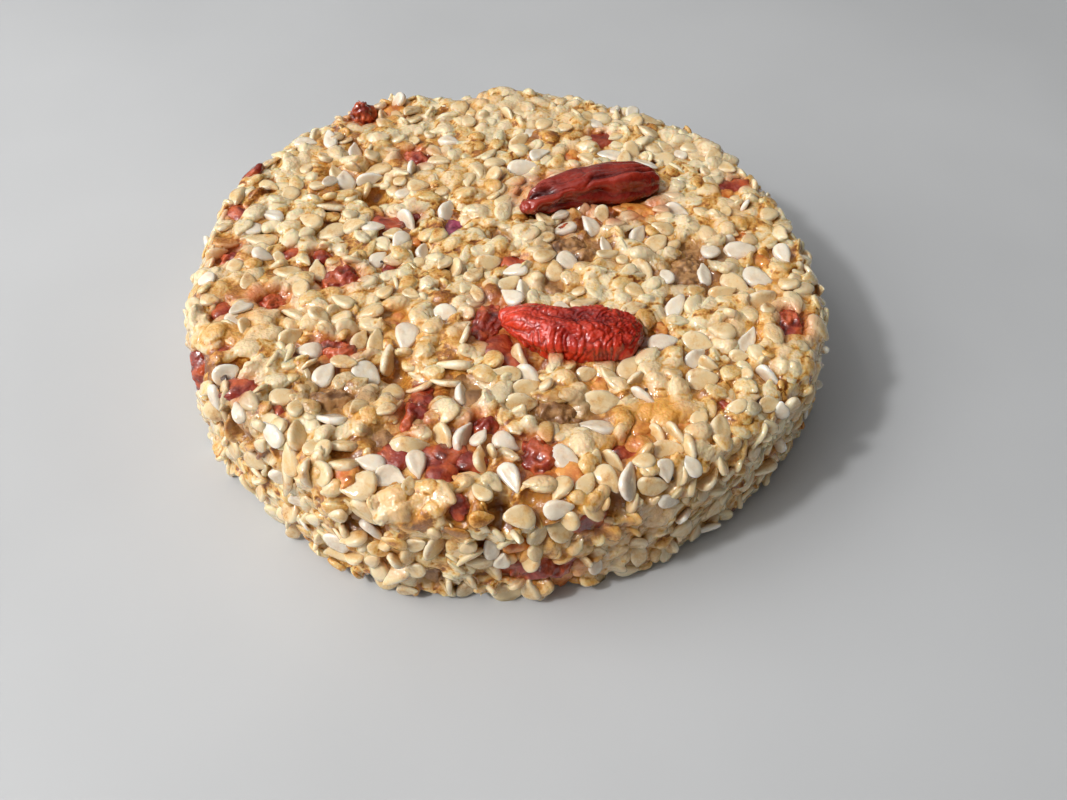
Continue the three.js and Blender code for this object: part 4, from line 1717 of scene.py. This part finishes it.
def noise_node(nodes, links, size_mm, detail=3.0, roughness=0.55):
    place_node = nodes.new("ShaderNodeTexCoord")
    node = nodes.new("ShaderNodeTexNoise")
    node.inputs["Scale"].default_value = 1.0 / (size_mm * mm)
    node.inputs["Detail"].default_value = detail
    node.inputs["Roughness"].default_value = roughness
    links.new(place_node.outputs["Object"], node.inputs["Vector"])
    return node.outputs["Fac"]


# %% [markdown]
# Colours and numbers run from node to node. A ramp turns a number into a colour, a mix blends two
# colours, and a math node adds or multiplies. The helpers take either a socket or a plain value.

# %% Helpers for colours and sums


def ramp_node(nodes, links, source, stops):
    """A colour ramp with these positions and colours."""
    node = nodes.new("ShaderNodeValToRGB")
    ramp = node.color_ramp
    while len(ramp.elements) < len(stops):
        ramp.elements.new(0.5)
    for element, (position, colour) in zip(ramp.elements, stops):
        element.position = position
        element.color = (*colour, 1.0)
    links.new(source, node.inputs["Fac"])
    return node.outputs["Color"]


def mix_node(nodes, links, share, first, second):
    """A colour mix. `share`, `first` and `second` are sockets, or plain values."""
    node = nodes.new("ShaderNodeMix")
    node.data_type = "RGBA"
    for socket, value in ((node.inputs[0], share), (node.inputs[6], first), (node.inputs[7], second)):
        if isinstance(value, bpy.types.NodeSocket):
            links.new(value, socket)
        elif isinstance(value, tuple):
            socket.default_value = (*value, 1.0)
        else:
            socket.default_value = value
    return node.outputs[2]


def math_node(nodes, links, operation, *values):
    """A sum with sockets or plain values."""
    node = nodes.new("ShaderNodeMath")
    node.operation = operation
    for socket, value in zip(node.inputs, values):
        if isinstance(value, bpy.types.NodeSocket):
            links.new(value, socket)
        else:
            socket.default_value = value
    return node.outputs[0]


# %% [markdown]
# Relief finer than the mesh comes from a bump, gloss from the roughness, and the soft inside of a
# seed or a berry from subsurface scattering, with a reach in millimetres for red, green and blue.

# %% Helpers for the surface


def bump_node(nodes, links, height, distance_mm, strength, shader):
    node = nodes.new("ShaderNodeBump")
    node.inputs["Strength"].default_value = strength
    node.inputs["Distance"].default_value = distance_mm * mm
    links.new(height, node.inputs["Height"])
    links.new(node.outputs["Normal"], shader.inputs["Normal"])


def gloss_in_patches(nodes, links, size_mm, smooth, rough, shader):
    """Roughness that wanders between two values."""
    patches = noise_node(nodes, links, size_mm)
    roughness = ramp_node(nodes, links, patches, [(0.38, grey(smooth)), (0.66, grey(rough))])
    links.new(roughness, shader.inputs["Roughness"])


def soft_inside(shader, weight, radius_mm):
    shader.inputs["Subsurface Weight"].default_value = weight
    shader.inputs["Subsurface Radius"].default_value = [r * mm for r in radius_mm]
    shader.inputs["Subsurface Scale"].default_value = 1.0


# %% [markdown]
# ## Seeds and honey
# Honey and the seeds sunk in it share one field of colour, which runs from pale meal over gold to
# brown in patches of a few millimetres and in fine flecks. So a sunken seed melts into the honey
# round it, as it does on a real cookie. In hollows the honey is thick and dark, and the dark is
# partly painted shade; in the deepest cracks and gaps a dark brown is painted shade alone. Near
# fruit the honey takes a little of the fruit's colour. Over all lies a wet coat, because honey
# stays sticky.

# %% The shared field of colour
# Painted shade: these two colours darken hollows, cracks and gaps; the first is also the colour of thick
# honey.
thick_honey_and_shade = (0.60, 0.28, 0.055)
crack_shade_brown = (0.20, 0.055, 0.013)
red_stain = (0.60, 0.15, 0.04)
brown_stain = (0.36, 0.18, 0.06)
orange_pool = (0.80, 0.38, 0.07)
honey_tones = [
    (0.28, (0.22, 0.060, 0.009)),
    (0.38, (0.48, 0.18, 0.026)),
    (0.46, (0.70, 0.36, 0.08)),
    (0.54, (0.80, 0.49, 0.17)),
    (0.62, (0.85, 0.61, 0.29)),
    (0.74, (0.88, 0.72, 0.46)),
]
print("honey tones:", len(honey_tones))

# %% [markdown]
# The field is a sum of three noises: patches, mottles and flecks. A mark of the mesh can make it
# paler or darker. The result runs through the ramp of honey tones, then stains, and thick honey
# with painted shade in the hollows, are laid over it.

# %% Stains, hollows, field and glaze


def stained(nodes, links, colour, strength):
    """The colour with pools of honey and the stains of fruit over it."""
    for mark, stain in (("pool", orange_pool), ("brown", brown_stain), ("red", red_stain)):
        share = math_node(nodes, links, "MULTIPLY", attribute_node(nodes, mark), strength)
        colour = mix_node(nodes, links, share, colour, stain)
    return colour


def sunk_honey_and_shade(nodes, links, colour, shallow, strength):
    """Thick honey and painted shade in hollows, and dark brown painted shade in the cracks below."""
    deep = attribute_node(nodes, "deep")
    honey_and_shade_share = ramp_node(nodes, links, deep, [(0.0, grey(0)), (shallow, grey(strength))])
    crack_shade_share = ramp_node(nodes, links, deep, [(shallow, grey(0)), (1.0, grey(0.9))])
    colour = mix_node(nodes, links, honey_and_shade_share, colour, thick_honey_and_shade)
    return mix_node(nodes, links, crack_shade_share, colour, crack_shade_brown)


def field_colour(nodes, links, lift, own_marks):
    """Honey tones by place, made paler by `lift` and by the marks of the mesh named with shares."""
    patches = noise_node(nodes, links, 2.6, 3.0, 0.6)
    mottles = noise_node(nodes, links, 0.7, 3.0, 0.6)
    flecks = noise_node(nodes, links, 0.2, 2.0, 0.6)
    parts = [(patches, 0.85), (mottles, 0.25), (flecks, 0.35)]
    parts += [(attribute_node(nodes, mark), share) for mark, share in own_marks]
    value = 0.5 + lift - 0.5 * sum(share for _, share in parts)
    for source, share in parts:
        value = math_node(nodes, links, "MULTIPLY_ADD", source, share, value)
    return ramp_node(nodes, links, value, honey_tones)


coat_weight = 0.5
coat_roughness = 0.08
gloss_patch_mm = 0.8


def glaze(nodes, links, grain_mm, distance_mm, smooth, rough, shader):
    """A wet coat of honey: soft bumps that break up its lights, and gloss that comes and goes."""
    grain = noise_node(nodes, links, grain_mm, 1.5, 0.5)
    bump_node(nodes, links, grain, distance_mm, 1.0, shader)
    gloss_in_patches(nodes, links, gloss_patch_mm, smooth, rough, shader)
    shader.inputs["Coat Weight"].default_value = coat_weight
    shader.inputs["Coat Roughness"].default_value = coat_roughness


# %% [markdown]
# Light shines through the thin middle of a clean seed, so its rim looks paler than its face. The
# clean seeds have two colours of their own and only a few flecks of honey. The sunken seeds and
# the mass share one recipe: pale on rims and on pale seeds, and dark in cracks, deep under the
# skin and on the side, which is partly honey and partly painted shade.

# %% Seed and honey materials
clean_colours = {
    "white_seeds": {"rim": (0.94, 0.89, 0.80), "face": (0.84, 0.76, 0.62), "flecks": 0.35},
    "cream_seeds": {"rim": (0.91, 0.81, 0.61), "face": (0.80, 0.62, 0.35), "flecks": 0.9},
}
honeyed_kinds = ("golden_seeds", "amber_seeds", "toasted_seeds")
honey_lift = -0.05
# Honey and painted shade: the crack mark darkens points between seeds, and the mark of how far a point is
# sunk darkens points deep under the skin and on the side.
seed_marks = [("rim", 0.12), ("tone", 0.42), ("crack", -0.4), ("sunk_honey_and_shade", -0.45)]


def clean_material(name, rim, face, flecks):
    material, nodes, links, shader = new_material(name)
    edge = math_node(nodes, links, "POWER", attribute_node(nodes, "rim"), 2.5)
    colour = mix_node(nodes, links, edge, face, rim)
    field = field_colour(nodes, links, 0.0, [])
    patches = noise_node(nodes, links, 1.0, 4.0, 0.7)
    share = ramp_node(nodes, links, patches, [(0.45, grey(0)), (0.7, grey(flecks))])
    colour = mix_node(nodes, links, share, colour, field)
    # Thick honey and painted shade in the hollows round the clean seeds.
    colour = sunk_honey_and_shade(nodes, links, colour, 0.8, 0.5)
    links.new(stained(nodes, links, colour, 0.2), shader.inputs["Base Color"])
    glaze(nodes, links, grain_mm=0.6, distance_mm=0.07, smooth=0.1, rough=0.3, shader=shader)
    soft_inside(shader, 0.6, radius_mm=(0.35, 0.3, 0.22))
    return material


def honeyed_material(name, grain_mm, distance_mm):
    material, nodes, links, shader = new_material(name)
    field = field_colour(nodes, links, honey_lift, seed_marks)
    colour = sunk_honey_and_shade(nodes, links, field, 0.6, 0.6)
    links.new(stained(nodes, links, colour, 0.9), shader.inputs["Base Color"])
    glaze(nodes, links, grain_mm, distance_mm, smooth=0.06, rough=0.26, shader=shader)
    soft_inside(shader, 0.6, radius_mm=(0.45, 0.3, 0.18))
    return material


for name, colours in clean_colours.items():
    seed_pieces[name].data.materials.append(clean_material(name, **colours))
for name in honeyed_kinds:
    seed_pieces[name].data.materials.append(honeyed_material(name, grain_mm=0.4, distance_mm=0.09))
honey_mass.data.materials.append(honeyed_material("honey", grain_mm=0.36, distance_mm=0.14))
print("seed materials:", len(seed_pieces))

# %% [markdown]
# ## Fruit
# Berry skin is a deep clear red, brighter on thin crests and almost black in the folds, where the
# shade is painted, with small sharp lights. Torn pulp is wet and mottled, from orange to dark red.
# The brown fruit is duller. One recipe serves them all: two reds or browns by how warm the mesh is
# marked and how mottled the fruit is, and a third, darker colour in the folds, which is painted
# shade.

# %% Fruit materials
fruit_bump_mm = 0.12
fruit_softness = 0.2


def fruit_material(name, crest, body, groove_shade, gloss, grain_mm, inside_mm, mottle):
    material, nodes, links, shader = new_material(name)
    patches = noise_node(nodes, links, 0.7, 5.0, 0.65)
    blotches = ramp_node(nodes, links, patches, [(0.4, grey(0)), (0.62, grey(mottle))])
    warm = math_node(nodes, links, "ADD", attribute_node(nodes, "warm"), blotches)
    colour = ramp_node(nodes, links, warm, [(0.2, body), (0.9, crest)])
    # Painted shade: the folds get the third, darker colour.
    fold_shade = math_node(nodes, links, "POWER", attribute_node(nodes, "groove_shade"), 1.3)
    links.new(mix_node(nodes, links, fold_shade, colour, groove_shade), shader.inputs["Base Color"])
    glaze(nodes, links, grain_mm, fruit_bump_mm, smooth=gloss, rough=gloss + 0.15, shader=shader)
    soft_inside(shader, fruit_softness, inside_mm)
    return material


# %% [markdown]
# The front berry is bright red, and the back one is darker and less glossy. Torn pulp and brown
# fruit are the wettest. The jelly bits are soaked in honey, so they let the most light through.

# %% Fruit recipes
fruit_recipes = {
    "front_berry": {
        "crest": (0.72, 0.050, 0.016),
        "body": (0.43, 0.013, 0.005),
        "groove_shade": (0.13, 0.003, 0.001),
        "gloss": 0.1,
        "grain_mm": 0.5,
        "inside_mm": (0.4, 0.08, 0.04),
        "mottle": 0.35,
    },
    "back_berry": {
        "crest": (0.38, 0.030, 0.011),
        "body": (0.22, 0.010, 0.004),
        "groove_shade": (0.07, 0.003, 0.002),
        "gloss": 0.16,
        "grain_mm": 0.6,
        "inside_mm": (0.4, 0.08, 0.04),
        "mottle": 0.25,
    },
    "berry_scraps": {
        "crest": (0.60, 0.12, 0.040),
        "body": (0.28, 0.028, 0.013),
        "groove_shade": (0.08, 0.009, 0.005),
        "gloss": 0.04,
        "grain_mm": 0.4,
        "inside_mm": (0.4, 0.08, 0.04),
        "mottle": 0.3,
    },
    "purple_berry_bit": {
        "crest": (0.44, 0.08, 0.15),
        "body": (0.20, 0.020, 0.05),
        "groove_shade": (0.09, 0.008, 0.025),
        "gloss": 0.05,
        "grain_mm": 0.5,
        "inside_mm": (0.4, 0.15, 0.2),
        "mottle": 0.5,
    },
    "brown_fruit_pieces": {
        "crest": (0.50, 0.26, 0.10),
        "body": (0.25, 0.11, 0.040),
        "groove_shade": (0.10, 0.035, 0.013),
        "gloss": 0.04,
        "grain_mm": 0.5,
        "inside_mm": (0.4, 0.22, 0.1),
        "mottle": 0.7,
    },
    "orange_jelly_bits": {
        "crest": (0.82, 0.35, 0.08),
        "body": (0.66, 0.17, 0.025),
        "groove_shade": (0.38, 0.07, 0.010),
        "gloss": 0.05,
        "grain_mm": 0.5,
        "inside_mm": (0.6, 0.3, 0.12),
        "mottle": 0.8,
    },
    "dark_specks": {
        "crest": (0.13, 0.05, 0.02),
        "body": (0.05, 0.02, 0.01),
        "groove_shade": (0.02, 0.01, 0.006),
        "gloss": 0.5,
        "grain_mm": 0.3,
        "inside_mm": (0.2, 0.1, 0.1),
        "mottle": 0.2,
    },
}
fruit_pieces = {
    "front_berry": berries["goji_front"],
    "back_berry": berries["goji_back"],
    "berry_scraps": red_scrap_piece,
    "purple_berry_bit": purple_piece,
    "brown_fruit_pieces": brown_scrap_piece,
    "orange_jelly_bits": orange_piece,
    "dark_specks": speck_piece,
}
for name, recipe in fruit_recipes.items():
    fruit_pieces[name].data.materials.append(fruit_material(name, **recipe))
print("fruit materials:", len(fruit_recipes))

# %% [markdown]
# ## Each piece takes its place in the model
# The pieces stand for the plain solids, which are then hidden, and every piece moves with the
# cookie's one body.

# %% Ride and replace
seedy_pieces = (*seed_pieces.values(), honey_mass)
for piece in (*seedy_pieces, *fruit_pieces.values()):
    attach(piece, "root")
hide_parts("seed_mass")
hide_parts("goji_front")
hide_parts("goji_back")
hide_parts(*red_scraps)
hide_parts(*brown_fruit)
print("pieces:", len(seedy_pieces) + len(fruit_pieces))

# %% [markdown]
# ## The floor
# The floor is plain and pale, with a faint unevenness. It is only there to carry a soft shadow and
# to throw some light back at the cookie's side, so it is not a piece of the cookie.

# %% Floor
half_floor = 1500.0


def make_floor():
    half = half_floor
    corners = np.array([[-half, -half, 0], [half, -half, 0], [half, half, 0], [-half, half, 0]], float)
    floor = tri_mesh("floor", corners, np.array([[0, 1, 2], [0, 2, 3]]))
    material, nodes, links, shader = new_material("floor")
    clouds = noise_node(nodes, links, 60.0)
    tint = ramp_node(nodes, links, clouds, [(0.3, (0.51, 0.52, 0.53)), (0.7, (0.57, 0.58, 0.59))])
    links.new(tint, shader.inputs["Base Color"])
    shader.inputs["Roughness"].default_value = 0.7
    floor.data.materials.append(material)
    return floor


floor = make_floor()
print("floor:", 2 * half_floor * mm, "m wide")

# %% [markdown]
# ## Light
# The light is soft daylight from the left, a little in front and about 40 degrees up. It leaves
# the right side of the cookie in warm shade. One sun would cut hard shadows between the seeds. So
# a large area light stands for a window, a larger and weaker one for the sky above, and a small
# one puts the sharp glints on wet honey. A dim world, brighter on the window's side, fills the
# shadows.

# %% Lights


def soft_light(name, place_mm, width_mm, watts, colour):
    data = bpy.data.lights.new(name, "AREA")
    data.shape = "SQUARE"
    data.size = width_mm * mm
    data.energy = watts
    data.color = colour
    light = bpy.data.objects.new(name, data)
    place_m = Vector(place_mm) * mm
    light.location = place_m
    light.rotation_euler = (-place_m).to_track_quat("-Z", "Y").to_euler()
    bpy.context.scene.collection.objects.link(light)
    return light


sky_left = (0.42, 0.42, 0.415)
sky_right = (0.02, 0.02, 0.02)


def make_sky():
    """A pale sky that is bright on the window's side and dim on the other."""
    world = bpy.data.worlds.new("sky")
    world.use_nodes = True
    nodes, links = world.node_tree.nodes, world.node_tree.links
    direction = nodes.new("ShaderNodeTexCoord")
    parts = nodes.new("ShaderNodeSeparateXYZ")
    links.new(direction.outputs["Generated"], parts.inputs[0])
    from_left = math_node(nodes, links, "MULTIPLY_ADD", parts.outputs["X"], 0.5, 0.5)
    brightness = ramp_node(nodes, links, from_left, [(0.0, sky_left), (0.9, sky_right)])
    links.new(brightness, nodes["Background"].inputs["Color"])
    bpy.context.scene.world = world


soft_light("window", (-320, -70, 270), 380, 1.2, (1.0, 0.98, 0.955))
soft_light("sky_fill", (-140, 40, 430), 600, 0.55, (0.99, 0.99, 1.0))
soft_light("glints", (-260, -150, 330), 36, 0.75, (1.0, 1.0, 1.0))
make_sky()
bpy.context.scene.view_settings.view_transform = "Standard"
print("lights:", len(bpy.data.lights))
